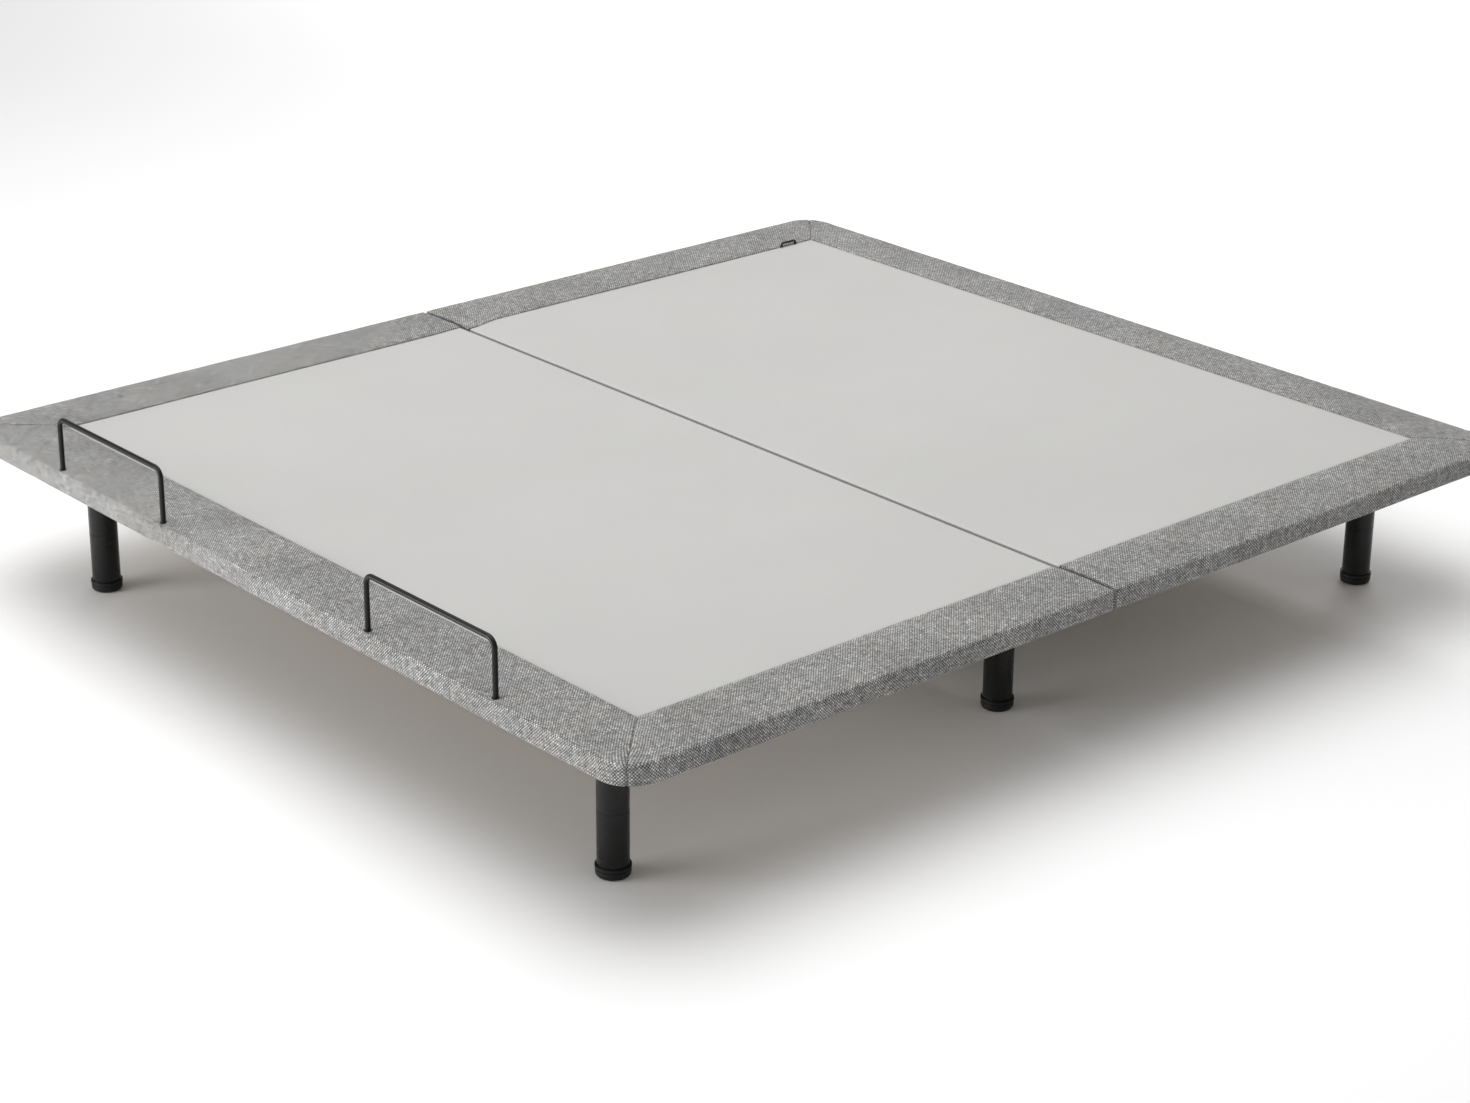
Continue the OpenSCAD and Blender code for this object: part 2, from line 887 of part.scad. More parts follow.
module retainer_sockets() {
    color(plastic_black)
        for (s = [-1, 1], t = [-1, 1])
            translate([s * retainer_x + t * retainer_w / 2, retainer_y, 0]) difference() {
                union() {
                    translate([0, 0, wood_z]) cylinder(r = socket_r, h = deck_h - wood_z);
                    translate([0, 0, deck_h]) cylinder(r = socket_r, h = collar_h);
                }
                translate([0, 0, socket_z]) cylinder(r = socket_bore, h = panel_t + collar_h);
            }
}

module head_board() {
    color(wood_col) difference() {
        at_head() panel_board(head_len);
        for (s = [-1, 1])
            block(s * rail_x - pocket_w / 2, s * rail_x + pocket_w / 2, hinge_y - pocket_front,
                hinge_y + 20, board_z - eps, foam_z + eps);
    }
}

module head_rails() {
    color(wood_col) difference() {
        at_head() wood_rails(head_len, hinge_back + pocket_back);
        for (s = [-1, 1])
            block(s * rail_x - pocket_w / 2, s * rail_x + pocket_w / 2, head_y - eps,
                hinge_y + pocket_back, wood_z - eps, board_z + eps);
    }
}

module head_foam() {
    color(foam_col) at_head() panel_foam(head_len);
}

module head_border_cover() {
    color(cloth_grey) at_head() border_cover(head_len, border_head_w);
}

module head_centre_cloth() {
    color(cloth_light) difference() {
        at_head() centre_cloth(head_len, border_head_w);
        hinge_pockets(panel_z - eps, wood_z + eps);
    }
}

module roller_tracks() {
    color(steel_plain)
        for (s = [-1, 1])
            block(s * arm_x - track_w / 2, s * arm_x + track_w / 2, hinge_y + track_from,
                hinge_y + track_to, track_z, board_z);
}

module side_loop() {
    r = loop_bend_r;
    half = loop_len / 2 - loop_rod;
    z_bar = deck_h + loop_h - loop_rod;
    color(plastic_black) translate([loop_x, loop_y, 0]) {
        rod_y(loop_rod, -half + r, half - r, 0, z_bar);
        for (s = [-1, 1]) {
            translate([0, s * (half - r), z_bar - r]) rotate([90, 0, 90])
                rotate([0, 0, s > 0 ? 0 : 90]) rotate_extrude(angle = 90)
                    translate([r, 0]) circle(loop_rod);
            translate([0, s * half, deck_h]) cylinder(r = loop_rod, h = z_bar - r - deck_h);
            translate([0, s * half, deck_h]) cylinder(r = loop_foot_r, h = loop_foot_h);
        }
    }
}

// ---- mattress retainers ----

module retainer_bar(s) {
    half = retainer_w / 2;
    z_bar = deck_h + retainer_h - rod_rad;
    color(steel_black) translate([s * retainer_x, retainer_y, 0]) {
        rod_x(rod_rad, -half + bend_r, half - bend_r, 0, z_bar);
        for (t = [-1, 1]) {
            translate([t * (half - bend_r), 0, z_bar - bend_r]) rotate([90, 0, 0])
                rotate([0, 0, t > 0 ? 0 : 90]) rotate_extrude(angle = 90)
                    translate([bend_r, 0]) circle(rod_rad);
            translate([t * half, 0, post_z]) cylinder(r = rod_rad, h = z_bar - bend_r - post_z);
        }
    }
}

module retainer_bar_left() { retainer_bar(-1); }
module retainer_bar_right() { retainer_bar(1); }

left_side_rail();
right_side_rail();
foot_cross_member();
mid_cross_member();
drive_cross_member();
head_cross_member();
leg_mount_plates();
leg_upper_sections();
leg_foot_left();
leg_foot_right();
leg_mid_left();
leg_mid_right();
leg_head_left();
leg_head_right();
leg_glides();
leg_studs();
foot_panel_risers();
rubber_bumpers();
hinge_brackets();
hinge_pins();
torque_bearing_plates();
torque_bushes();
drive_bracket();
gearbox_lower();
gearbox_upper();
motor_can();
spindle_bearing();
actuator_tube();
tube_end_bush();
tube_hanger();
control_box_base();
control_box_cover();
power_inlet();
foot_board();
foot_rails();
foot_foam();
foot_border_cover();
foot_centre_cloth();
retainer_sockets();
head_board();
head_rails();
head_foam();
head_border_cover();
head_centre_cloth();
roller_tracks();
head_hinge_plates();
side_loop();
torque_tube();
lift_arm_left();
lift_arm_right();
crank_lever();
roller_left();
roller_right();
push_rod();
spindle_nut();
spindle();
worm_wheel();
worm_shaft();
retainer_bar_left();
retainer_bar_right();
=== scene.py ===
"""The looks of the adjustable bed base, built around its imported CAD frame.

Lengths are metres in the row frame: +X right seen from the foot, +Y to the head, +Z up.
"""
import json
import math
import random

import bmesh
import bpy
import numpy as np
from mathutils import Matrix, Vector, noise
from mathutils.bvhtree import BVHTree


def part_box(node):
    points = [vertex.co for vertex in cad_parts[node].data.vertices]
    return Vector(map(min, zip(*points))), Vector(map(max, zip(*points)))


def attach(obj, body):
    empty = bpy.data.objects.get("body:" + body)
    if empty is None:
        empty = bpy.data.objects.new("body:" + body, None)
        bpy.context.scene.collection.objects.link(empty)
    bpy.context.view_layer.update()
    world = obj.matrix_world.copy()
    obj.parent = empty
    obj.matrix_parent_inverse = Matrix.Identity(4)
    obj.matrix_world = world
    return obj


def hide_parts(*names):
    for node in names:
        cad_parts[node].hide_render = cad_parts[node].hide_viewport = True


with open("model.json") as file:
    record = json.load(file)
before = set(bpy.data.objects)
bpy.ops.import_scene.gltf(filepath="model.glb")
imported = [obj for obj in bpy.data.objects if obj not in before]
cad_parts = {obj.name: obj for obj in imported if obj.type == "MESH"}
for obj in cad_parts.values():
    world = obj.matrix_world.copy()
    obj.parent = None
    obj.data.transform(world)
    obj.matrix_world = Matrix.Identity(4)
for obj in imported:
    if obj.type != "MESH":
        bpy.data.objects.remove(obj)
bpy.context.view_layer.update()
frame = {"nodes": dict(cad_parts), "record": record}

MM = 0.001

# ---------------------------------------------------------------- sizes taken from the frame
COVER_LO, COVER_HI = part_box("head_border_cover")
CLOTH_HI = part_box("head_centre_cloth")[1]
BOARD_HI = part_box("head_board")[1]
TOP = COVER_HI.z
BOTTOM = COVER_LO.z
HALF_W = COVER_HI.x
BORDER = HALF_W - CLOTH_HI.x
HEAD_BORDER = COVER_HI.y - CLOTH_HI.y
CORNER_R = 60 * MM

# ---------------------------------------------------------------- upholstery
EDGE_R = 5.5 * MM           # rounding along the deck's top edge
HEM_R = 4 * MM              # rounding along its bottom edge
SPLIT_R = 2.5 * MM          # rounding of the panel ends at the split
SPLIT_BACK = 1 * MM         # the soft faces at the split lie this far behind the frame's
CROWN = 1.5 * MM            # rise of the padded border between its seam and the edge
BULGE = 0.5 * MM            # bulge of the side band
RETURN_W = 50 * MM          # fabric folded under the panel
FABRIC_T = 1.3 * MM
CLOTH_T = 0.8 * MM
CLOTH_DROP = 1.8 * MM       # the centre cloth lies this much below the border's seam edge
TUCK = 4 * MM               # the cloth runs this far under the border
CORNER_ZONE = 240 * MM      # length before a corner where the columns turn to the mitre
COLUMN = 8 * MM             # spacing of the border's columns
MITRE_MARKS = (16, 10, 6, 3.5, 1.6, 0)      # distances of the last columns to the mitre, in mm
ROWS_TOP, ROWS_EDGE, ROWS_SIDE, ROWS_HEM, ROWS_UNDER = 16, 6, 8, 4, 20
SEAM_ROWS = 3               # rows that turn down at the border's inner seam
CAP_STEPS = 4               # columns round the panel's end at the split
FLARE = 85 * MM             # a side border's width changes over this length next to the split
FADE_IN = 30 * MM           # the fabric's unevenness starts over this length next to the split
CLOTH_STEP = 12 * MM        # spacing of the centre cloth's grid
ARC_STEPS = 5               # steps in each quarter round of the cloth and the pad
CLOTH_BACK = 0.3 * MM       # the cloth's face at the split lies this much behind the border's
PAD_GAP = 0.6 * MM          # from the centre cloth's underside down to the pad's flat top
PAD_RISE = 0.5 * MM         # the pad's middle stands this much above its rim

# ---------------------------------------------------------------- unevenness of the stretched fabric
TOP_WAVE, TOP_RIPPLE = 0.55 * MM, 0.55 * MM
SIDE_WAVE, SIDE_RIPPLE = 0.40 * MM, 0.25 * MM
FOLD_SHARE = 0.9            # how much of a fold's height shows on the side band
PINCH, PINCH_W = 1.7 * MM, 3.2 * MM         # the mitre seam's pull, and how far it reaches
PUCKER, PUCKER_W = 0.7 * MM, 26 * MM        # the pucker beside it
CLOTH_SWAY = 0.35 * MM
CREASE_X, CREASE_DRIFT = -0.289, 20 * MM    # the foot border's crease, and its drift on its way in
CREASE_DEPTH, CREASE_W = 2.0 * MM, 4 * MM
RIDGE_HEIGHT, RIDGE_W, RIDGE_OFF = 0.8 * MM, 6 * MM, 10 * MM
CREASE_START = 15 * MM      # inset from the outer face where the crease begins

# ---------------------------------------------------------------- cloth simulation of the border covers
PRESSURE = 3.0
GROWTH = 0.005
SIM_FRAMES = 20
MOVE_CAP = 1.3 * MM
SINK_CANCEL = 0.8           # share of any inward movement that is taken back
SEAM_HOLD = 6 * MM
SPLIT_HOLD = 12 * MM

# ---------------------------------------------------------------- camera
AZIMUTH, ELEVATION, ROLL = 0.84422, 0.39005, 0.0100
TARGET = Vector((0.4099, -0.3667, TOP))
DISTANCE = 5.2415
LENS, SENSOR = 79.51, 36


def smooth(t):
    t = min(1.0, max(0.0, t))
    return t * t * (3 - 2 * t)


# ================================================================ materials
class Paint:
    """A node material with one Principled shader and short calls for the nodes that feed it."""

    def __init__(self, name, rough=0.5, metallic=0.0, specular=0.5):
        self.material = bpy.data.materials.new(name)
        self.material.use_nodes = True
        self.tree = self.material.node_tree
        self.shader = self.tree.nodes["Principled BSDF"]
        self.shader.inputs["Roughness"].default_value = rough
        self.shader.inputs["Metallic"].default_value = metallic
        self.shader.inputs["Specular IOR Level"].default_value = specular

    def put(self, socket, value):
        if isinstance(value, bpy.types.NodeSocket):
            self.tree.links.new(value, socket)
        else:
            socket.default_value = value

    def node(self, kind, *inputs, **settings):
        made = self.tree.nodes.new("ShaderNode" + kind)
        for key, value in settings.items():
            setattr(made, key, value)
        for socket, value in zip(made.inputs, inputs):
            if value is not None:
                self.put(socket, value)
        return made

    def math(self, operation, a, b=None, c=None):
        return self.node("Math", a, b, c, operation=operation).outputs[0]

    def vector(self, operation, a, b=None):
        made = self.tree.nodes.new("ShaderNodeVectorMath")
        made.operation = operation
        self.put(made.inputs[0], a)
        if operation == "SCALE":
            self.put(made.inputs["Scale"], b)
        elif b is not None:
            self.put(made.inputs[1], b)
        return made.outputs[0]

    def combine(self, x, y, z=0.0):
        return self.node("CombineXYZ", x, y, z).outputs[0]

    def split(self, vector):
        return self.node("SeparateXYZ", vector).outputs

    def place(self):
        return self.node("TexCoord").outputs["Object"]

    def noise(self, vector, scale, detail=2.0, roughness=0.5):
        made = self.tree.nodes.new("ShaderNodeTexNoise")
        self.put(made.inputs["Vector"], vector)
        made.inputs["Scale"].default_value = scale
        made.inputs["Detail"].default_value = detail
        made.inputs["Roughness"].default_value = roughness
        return made.outputs[0]

    def remap(self, value, low, high, to_low, to_high):
        made = self.tree.nodes.new("ShaderNodeMapRange")
        for socket, number in zip(made.inputs, (value, low, high, to_low, to_high)):
            self.put(socket, number)
        return made.outputs[0]

    def mix(self, share, a, b):
        made = self.tree.nodes.new("ShaderNodeMix")
        made.data_type = "RGBA"
        self.put(made.inputs[0], share)
        self.put(made.inputs[6], a)
        self.put(made.inputs[7], b)
        return made.outputs[2]

    def tint(self, colour, share):
        """The colour times a grey share."""
        return self.vector("SCALE", colour, share)

    def colour(self, value):
        self.put(self.shader.inputs["Base Color"], value)

    def rough(self, value):
        self.put(self.shader.inputs["Roughness"], value)

    def bump(self, height, distance, strength=1.0):
        made = self.tree.nodes.new("ShaderNodeBump")
        made.inputs["Strength"].default_value = strength
        made.inputs["Distance"].default_value = distance
        self.put(made.inputs["Height"], height)
        self.tree.links.new(made.outputs[0], self.shader.inputs["Normal"])


def grey(level):
    return (level, level, level, 1)


WEAVE_PITCH = 2.6 * MM
WEFT_DARK, WEFT_LIGHT = (0.24, 0.24, 0.237, 1), (0.60, 0.60, 0.592, 1)
WARP_DARK, WARP_LIGHT = grey(0.035), (0.20, 0.20, 0.198, 1)
SLUB_DEPTH = 0.26           # how much thick and thin stretches of yarn lighten and darken the fabric


def border_fabric():
    """Grey melange canvas: a plain weave of light slubby weft and darker warp, laid along each strip."""
    p = Paint("border_fabric", rough=0.9, specular=0.2)
    uv = p.node("UVMap", uv_map="weave").outputs[0]
    wobble = p.noise(uv, 55.0)
    drift = p.noise(p.vector("ADD", uv, (3.1, 1.7, 0.0)), 9.0)
    shift = p.combine(p.math("MULTIPLY", wobble, 0.8 * MM), p.math("MULTIPLY", drift, 9 * MM))
    uv = p.vector("ADD", uv, shift)
    cell = p.vector("SCALE", uv, 1 / WEAVE_PITCH)
    whole = p.vector("FLOOR", cell)
    part = p.split(p.vector("FRACTION", cell))
    column, line = p.split(whole)[0], p.split(whole)[1]
    along, across = p.split(uv)[0], p.split(uv)[1]

    turn = p.math("FRACT", p.math("MULTIPLY", p.math("ADD", column, line), 0.5))
    weft_up = p.math("GREATER_THAN", turn, 0.25)
    weft_round = p.math("SINE", p.math("MULTIPLY", part[1], math.pi))
    warp_round = p.math("SINE", p.math("MULTIPLY", part[0], math.pi))
    body = p.math("POWER", p.math("MULTIPLY", weft_round, warp_round), 0.4)

    weft_at = p.combine(p.math("MULTIPLY", along, 70.0), p.math("MULTIPLY", line, 0.83))
    warp_at = p.combine(p.math("MULTIPLY", column, 0.77), p.math("MULTIPLY", across, 75.0), 7.3)
    weft_slub = p.noise(weft_at, 1.0, 3.0, 0.6)
    warp_slub = p.noise(warp_at, 1.0, 3.0, 0.6)
    weft = p.mix(p.remap(weft_slub, 0.30, 0.70, 0.0, 1.0), WEFT_DARK, WEFT_LIGHT)
    warp = p.mix(p.remap(warp_slub, 0.30, 0.70, 0.0, 1.0), WARP_DARK, WARP_LIGHT)
    yarn = p.mix(weft_up, warp, weft)
    speckle = p.node("TexWhiteNoise", whole).outputs["Value"]
    # The fabric darkens towards each yarn's edges and in the gaps between yarns: painted shade between the
    # yarns. The speckle is a random tone for each float.
    shade = p.math("MULTIPLY", p.remap(body, 0.0, 1.0, 0.45, 1.15), p.remap(speckle, 0.0, 1.0, 0.72, 1.28))

    def streaks(along_rate, across_rate, offset=0.0):
        u, v = p.math("MULTIPLY", along, along_rate), p.math("MULTIPLY", across, across_rate)
        streak = p.noise(p.combine(u, v, offset), 1.0, 2.0, 0.6)
        return p.remap(streak, 0.3, 0.7, -SLUB_DEPTH, SLUB_DEPTH)

    slubs = p.math("ADD", streaks(55.0, 260.0), streaks(260.0, 55.0, 4.1))
    shade = p.math("MULTIPLY", shade, p.math("ADD", slubs, 0.97))

    cloud = p.noise(p.place(), 9.0, 3.0, 0.55)
    patch = p.remap(cloud, 0.3, 0.7, 0.86, 1.14)
    warmth = p.noise(p.place(), 14.0, 1.0)
    hue = p.mix(p.remap(warmth, 0.38, 0.62, 0.0, 1.0), (0.995, 1.0, 1.0, 1), (1.02, 1.0, 0.97, 1))
    p.colour(p.vector("MULTIPLY", p.tint(yarn, p.math("MULTIPLY", shade, patch)), hue))
    p.shader.inputs["Sheen Weight"].default_value = 0.15
    p.shader.inputs["Sheen Roughness"].default_value = 0.5
    p.bump(body, 0.7 * MM, 0.8)
    return p.material


def centre_cloth():
    """Smooth warm light grey cloth with a fine plain weave and faint clouding."""
    p = Paint("centre_cloth", rough=0.85, specular=0.25)
    place = p.place()
    weave = p.split(p.vector("SINE", p.vector("SCALE", place, 2 * math.pi / (0.9 * MM))))
    cloud = p.noise(place, 2.4, 4.0, 0.55)
    fleck = p.noise(place, 160.0, 2.0)
    tone = p.math("ADD", p.remap(cloud, 0.3, 0.7, 0.975, 1.02), p.remap(fleck, 0.3, 0.7, -0.012, 0.012))
    warmth = p.noise(place, 3.7, 2.0)
    hue = p.mix(p.remap(warmth, 0.35, 0.65, 0.0, 1.0), (0.455, 0.452, 0.439, 1), (0.462, 0.450, 0.441, 1))
    p.colour(p.tint(hue, tone))
    p.shader.inputs["Sheen Weight"].default_value = 0.1
    p.bump(p.math("MULTIPLY", weave[0], weave[1]), 0.08 * MM, 0.5)
    return p.material


def dark_thread_and_seam_shade():
    """Dark twisted thread, whose near-black is partly painted shade for the mitre seam's groove."""
    p = Paint("dark_thread_and_seam_shade", rough=0.75, specular=0.3)
    twist = p.noise(p.place(), 1400.0, 1.0)
    # The stitches are real thread; their near-black colour is also painted shade along the mitre seam's
    # groove.
    p.colour(p.mix(twist, (0.02, 0.02, 0.021, 1), (0.07, 0.07, 0.072, 1)))
    p.bump(twist, 0.1 * MM, 0.6)
    return p.material


def powder_coat(name, tone, rough, specular=0.45):
    """Satin black powder coat with fine orange peel and light scuffs."""
    p = Paint(name, rough=rough, specular=specular)
    place = p.place()
    peel = p.noise(place, 700.0, 2.0)
    scuff = p.noise(place, 45.0, 5.0, 0.7)
    p.colour(p.mix(p.remap(scuff, 0.55, 0.8, 0.0, 1.0), grey(tone), grey(tone * 1.7)))
    p.rough(p.remap(scuff, 0.35, 0.75, rough * 0.88, rough * 1.2))
    p.bump(peel, 0.12 * MM, 0.25)
    return p.material


def moulded(name, colour, rough, grain, depth, specular=0.4):
    """Moulded plastic or rubber with a fine pebbled grain."""
    p = Paint(name, rough=rough, specular=specular)
    place = p.place()
    cells = p.tree.nodes.new("ShaderNodeTexVoronoi")
    p.put(cells.inputs["Vector"], place)
    cells.inputs["Scale"].default_value = grain
    cloud = p.noise(place, 60.0, 3.0)
    low = tuple(c * 0.88 for c in colour) + (1,)
    high = tuple(min(1.0, c * 1.15) for c in colour) + (1,)
    p.colour(p.mix(cloud, low, high))
    p.rough(p.remap(cloud, 0.3, 0.7, rough * 0.92, min(1.0, rough * 1.1)))
    p.bump(cells.outputs["Distance"], depth, 0.4)
    return p.material


def zinc():
    """Zinc plated steel with a soft crystalline mottling."""
    p = Paint("plated_steel", rough=0.34, metallic=1.0)
    place = p.place()
    cells = p.tree.nodes.new("ShaderNodeTexVoronoi")
    p.put(cells.inputs["Vector"], place)
    cells.inputs["Scale"].default_value = 160.0
    brush = p.noise(p.vector("MULTIPLY", place, (900.0, 900.0, 60.0)), 1.0, 2.0)
    p.colour(p.mix(p.split(cells.outputs["Color"])[0], (0.52, 0.53, 0.55, 1), (0.68, 0.69, 0.70, 1)))
    p.rough(p.remap(brush, 0.3, 0.7, 0.26, 0.44))
    p.bump(brush, 0.05 * MM, 0.2)
    return p.material


def wood(name, light, dark, stretch, plies):
    """Wood with grain along the stretched axis and glued plies on its edges."""
    p = Paint(name, rough=0.62, specular=0.3)
    place = p.place()
    warp = p.noise(place, 3.0, 2.0)
    grain_at = p.vector("ADD", p.vector("MULTIPLY", place, stretch), p.combine(warp, warp))
    grain = p.noise(grain_at, 1.0, 6.0, 0.62)
    pores = p.noise(p.vector("MULTIPLY", place, tuple(s * 7 for s in stretch)), 1.0, 2.0)
    base = p.mix(p.remap(grain, 0.3, 0.7, 0.0, 1.0), dark, light)
    base = p.tint(base, p.remap(pores, 0.3, 0.55, 0.86, 1.0))
    if plies:
        normal = p.split(p.node("NewGeometry").outputs["Normal"])
        edge = p.math("LESS_THAN", p.math("ABSOLUTE", normal[2]), 0.5)
        height = p.split(place)[2]
        layer = p.math("FRACT", p.math("DIVIDE", height, 4.8 * MM))
        band = p.math("GREATER_THAN", layer, 0.5)
        dark = p.math("MULTIPLY", p.math("MULTIPLY", edge, band), 0.35)
        base = p.tint(base, p.math("SUBTRACT", 1.0, dark))
    p.colour(base)
    p.bump(grain, 0.15 * MM, 0.4)
    return p.material


def foam():
    """Open-cell foam, with painted shade in its pores."""
    p = Paint("foam", rough=0.95, specular=0.1)
    cells = p.tree.nodes.new("ShaderNodeTexVoronoi")
    p.put(cells.inputs["Vector"], p.place())
    cells.inputs["Scale"].default_value = 700.0
    # Each cell darkens towards its middle, where the bump sinks: painted shade in the foam's pores.
    p.colour(p.mix(cells.outputs["Distance"], (0.55, 0.52, 0.42, 1), (0.85, 0.83, 0.72, 1)))
    p.bump(cells.outputs["Distance"], 0.5 * MM, 0.7)
    return p.material


def floor_paint():
    """White studio floor with a barely visible tone change."""
    p = Paint("studio_floor", rough=0.8, specular=0.1)
    tone = p.noise(p.place(), 0.7, 2.0)
    p.colour(p.mix(tone, grey(0.90), grey(0.93)))
    return p.material


BLACK = (0.008, 0.008, 0.008)
MATERIALS = {
    "border_fabric": border_fabric(),
    "centre_cloth": centre_cloth(),
    "frame_steel": powder_coat("frame_steel", 0.02, 0.42),
    "leg_steel": powder_coat("leg_steel", 0.004, 0.30, 0.30),
    "retainer_steel": powder_coat("retainer_steel", 0.004, 0.42, 0.28),
    "glide_plastic": moulded("glide_plastic", BLACK, 0.45, 1500.0, 0.06 * MM, 0.25),
    "collar_plastic": moulded("collar_plastic", BLACK, 0.5, 1500.0, 0.06 * MM),
    "housing_plastic": moulded("housing_plastic", (0.05, 0.05, 0.053), 0.55, 900.0, 0.12 * MM),
    "bumper_rubber": moulded("bumper_rubber", (0.025, 0.025, 0.025), 0.85, 600.0, 0.15 * MM, 0.2),
    "nylon": moulded("nylon", (0.74, 0.73, 0.68), 0.42, 500.0, 0.05 * MM),
    "plated_steel": zinc(),
    "plywood": wood("plywood", (0.60, 0.50, 0.37, 1), (0.42, 0.33, 0.23, 1), (6.0, 60.0, 60.0), True),
    "foam": foam(),
}
TIMBER = wood("timber", (0.64, 0.54, 0.40, 1), (0.48, 0.38, 0.27, 1), (55.0, 5.0, 55.0), False)
THREAD_AND_SEAM_SHADE = dark_thread_and_seam_shade()


def paint_cad_nodes():
    """Gives each CAD node the material of its slot in the record."""
    for part in frame["record"]["subparts"]:
        node = frame["nodes"][part["node"]]
        node.data.materials.clear()
        node.data.materials.append(MATERIALS[part["material_slot"]])
    for name in ("foot_rails", "head_rails"):
        frame["nodes"][name].data.materials[0] = TIMBER


# ================================================================ mesh helpers
def add_object(name, vertices, faces, material, uvs=None):
    mesh = bpy.data.meshes.new(name)
    mesh.from_pydata([tuple(v) for v in vertices], [], faces)
    if uvs is not None:
        layer = mesh.uv_layers.new(name="weave")
        layer.data.foreach_set("uv", np.array(uvs, np.float32).ravel())
    mesh.materials.append(material)
    made = bpy.data.objects.new(name, mesh)
    bpy.context.scene.collection.objects.link(made)
    return made


def finish_mesh(obj):
    """Welds the seams between grids and turns every face outward, so that the topmost one faces up."""
    bm = bmesh.new()
    bm.from_mesh(obj.data)
    bmesh.ops.remove_doubles(bm, verts=bm.verts, dist=0.01 * MM)
    bmesh.ops.recalc_face_normals(bm, faces=bm.faces)
    top = max(bm.faces, key=lambda f: f.calc_center_median().z)
    if top.normal.z < 0:
        bmesh.ops.reverse_faces(bm, faces=bm.faces)
    bm.to_mesh(obj.data)
    bm.free()
    obj.data.shade_smooth()


def apply_modifiers(obj):
    graph = bpy.context.evaluated_depsgraph_get()
    mesh = bpy.data.meshes.new_from_object(obj.evaluated_get(graph))
    obj.modifiers.clear()
    old = obj.data
    obj.data = mesh
    bpy.data.meshes.remove(old)


def tube(points, radius, sides=6):
    """Vertices and faces of a closed round wire along the points."""
    points = [Vector(p) for p in points]
    rings = []
    side = None
    for i, point in enumerate(points):
        ahead = points[min(i + 1, len(points) - 1)]
        behind = points[max(i - 1, 0)]
        direction = (ahead - behind).normalized()
        if side is None:
            side = direction.orthogonal().normalized()
        side = (side - direction * side.dot(direction)).normalized()
        other = direction.cross(side)
        rings.append([point + radius * (side * math.cos(t) + other * math.sin(t))
                      for t in (2 * math.pi * k / sides for k in range(sides))])
    vertices = [v for ring in rings for v in ring]
    faces = []
    for i in range(len(rings) - 1):
        for k in range(sides):
            a, b = i * sides + k, i * sides + (k + 1) % sides
            faces.append((a, b, b + sides, a + sides))
    faces.append(tuple(reversed(range(sides))))
    faces.append(tuple(range(len(vertices) - sides, len(vertices))))
    return vertices, faces


def join_parts(parts):
    """One vertex list and face list from several."""
    vertices, faces = [], []
    for part_vertices, part_faces in parts:
        base = len(vertices)
        vertices += part_vertices
        faces += [tuple(base + i for i in face) for face in part_faces]
    return vertices, faces


# ================================================================ the panels' shape
class Panel:
    """One deck panel: where it lies, its end border's width and its side borders' change at the split."""

    def __init__(self, name, body, sign, end_border, widen_left, widen_right, seed):
        low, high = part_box(name + "_border_cover")
        self.name, self.body, self.sign, self.seed = name, body, sign, seed
        self.split, self.end = (low.y, high.y) if sign > 0 else (high.y, low.y)
        self.length = abs(self.end - self.split)
        self.end_border = end_border
        self.widen = {-1: widen_left, 1: widen_right}

    def squeeze(self, inset):
        """Distance from the outer end, with the end border narrowed from BORDER to end_border."""
        plain = BORDER + CORNER_ZONE
        if not EDGE_R < inset < plain:
            return inset
        return float(np.interp(inset, [EDGE_R, BORDER, plain], [EDGE_R, self.end_border, plain]))

    def border_at(self, side, a):
        """Width of the border on one side, at distance a from the split."""
        return BORDER + self.widen[side] * (1 - smooth(a / FLARE))

    def at_side(self, side, a, inset, z):
        from_end = self.squeeze(self.length - a)
        return (side * (HALF_W - inset), self.end - self.sign * from_end, z)

    def at_end(self, side, a, inset, z):
        return (side * a, self.end - self.sign * self.squeeze(inset), z)


PANELS = [
    Panel("foot", "base", -1, BORDER, -4 * MM, 2 * MM, 11),
    Panel("head", "head_panel", 1, HEAD_BORDER, 15 * MM, -2 * MM, 23),
]


def section(return_w, border_w):
    """(inset from the outer face, height) across the border cover, from its seam to its hem."""
    seam = border_w - 0.6 * MM
    rows = [(border_w - 2.0 * MM, TOP - 3.6 * MM), (border_w + 0.1 * MM, TOP - 1.0 * MM), (seam, TOP)]
    for k in range(1, ROWS_TOP + 1):
        t = k / ROWS_TOP
        t_eased = t * (0.55 + 0.45 * t)
        rows.append((seam + (EDGE_R - seam) * t_eased, TOP + CROWN * math.sin(math.pi * t_eased ** 0.75)))
    for k in range(1, ROWS_EDGE + 1):
        turn = math.pi / 2 * k / ROWS_EDGE
        rows.append((EDGE_R * (1 - math.sin(turn)), TOP - EDGE_R * (1 - math.cos(turn))))
    for k in range(1, ROWS_SIDE + 1):
        t = k / ROWS_SIDE
        rows.append((-BULGE * math.sin(math.pi * t), TOP - EDGE_R + (BOTTOM + HEM_R - TOP + EDGE_R) * t))
    for k in range(1, ROWS_HEM + 1):
        turn = math.pi / 2 * k / ROWS_HEM
        rows.append((HEM_R * (1 - math.cos(turn)), BOTTOM + HEM_R * (1 - math.sin(turn))))
    for k in range(1, ROWS_UNDER + 1):
        rows.append((HEM_R + (return_w - HEM_R) * k / ROWS_UNDER, BOTTOM))
    rows.append((return_w + 0.5 * MM, BOTTOM + 1.2 * MM))
    return np.array(rows)


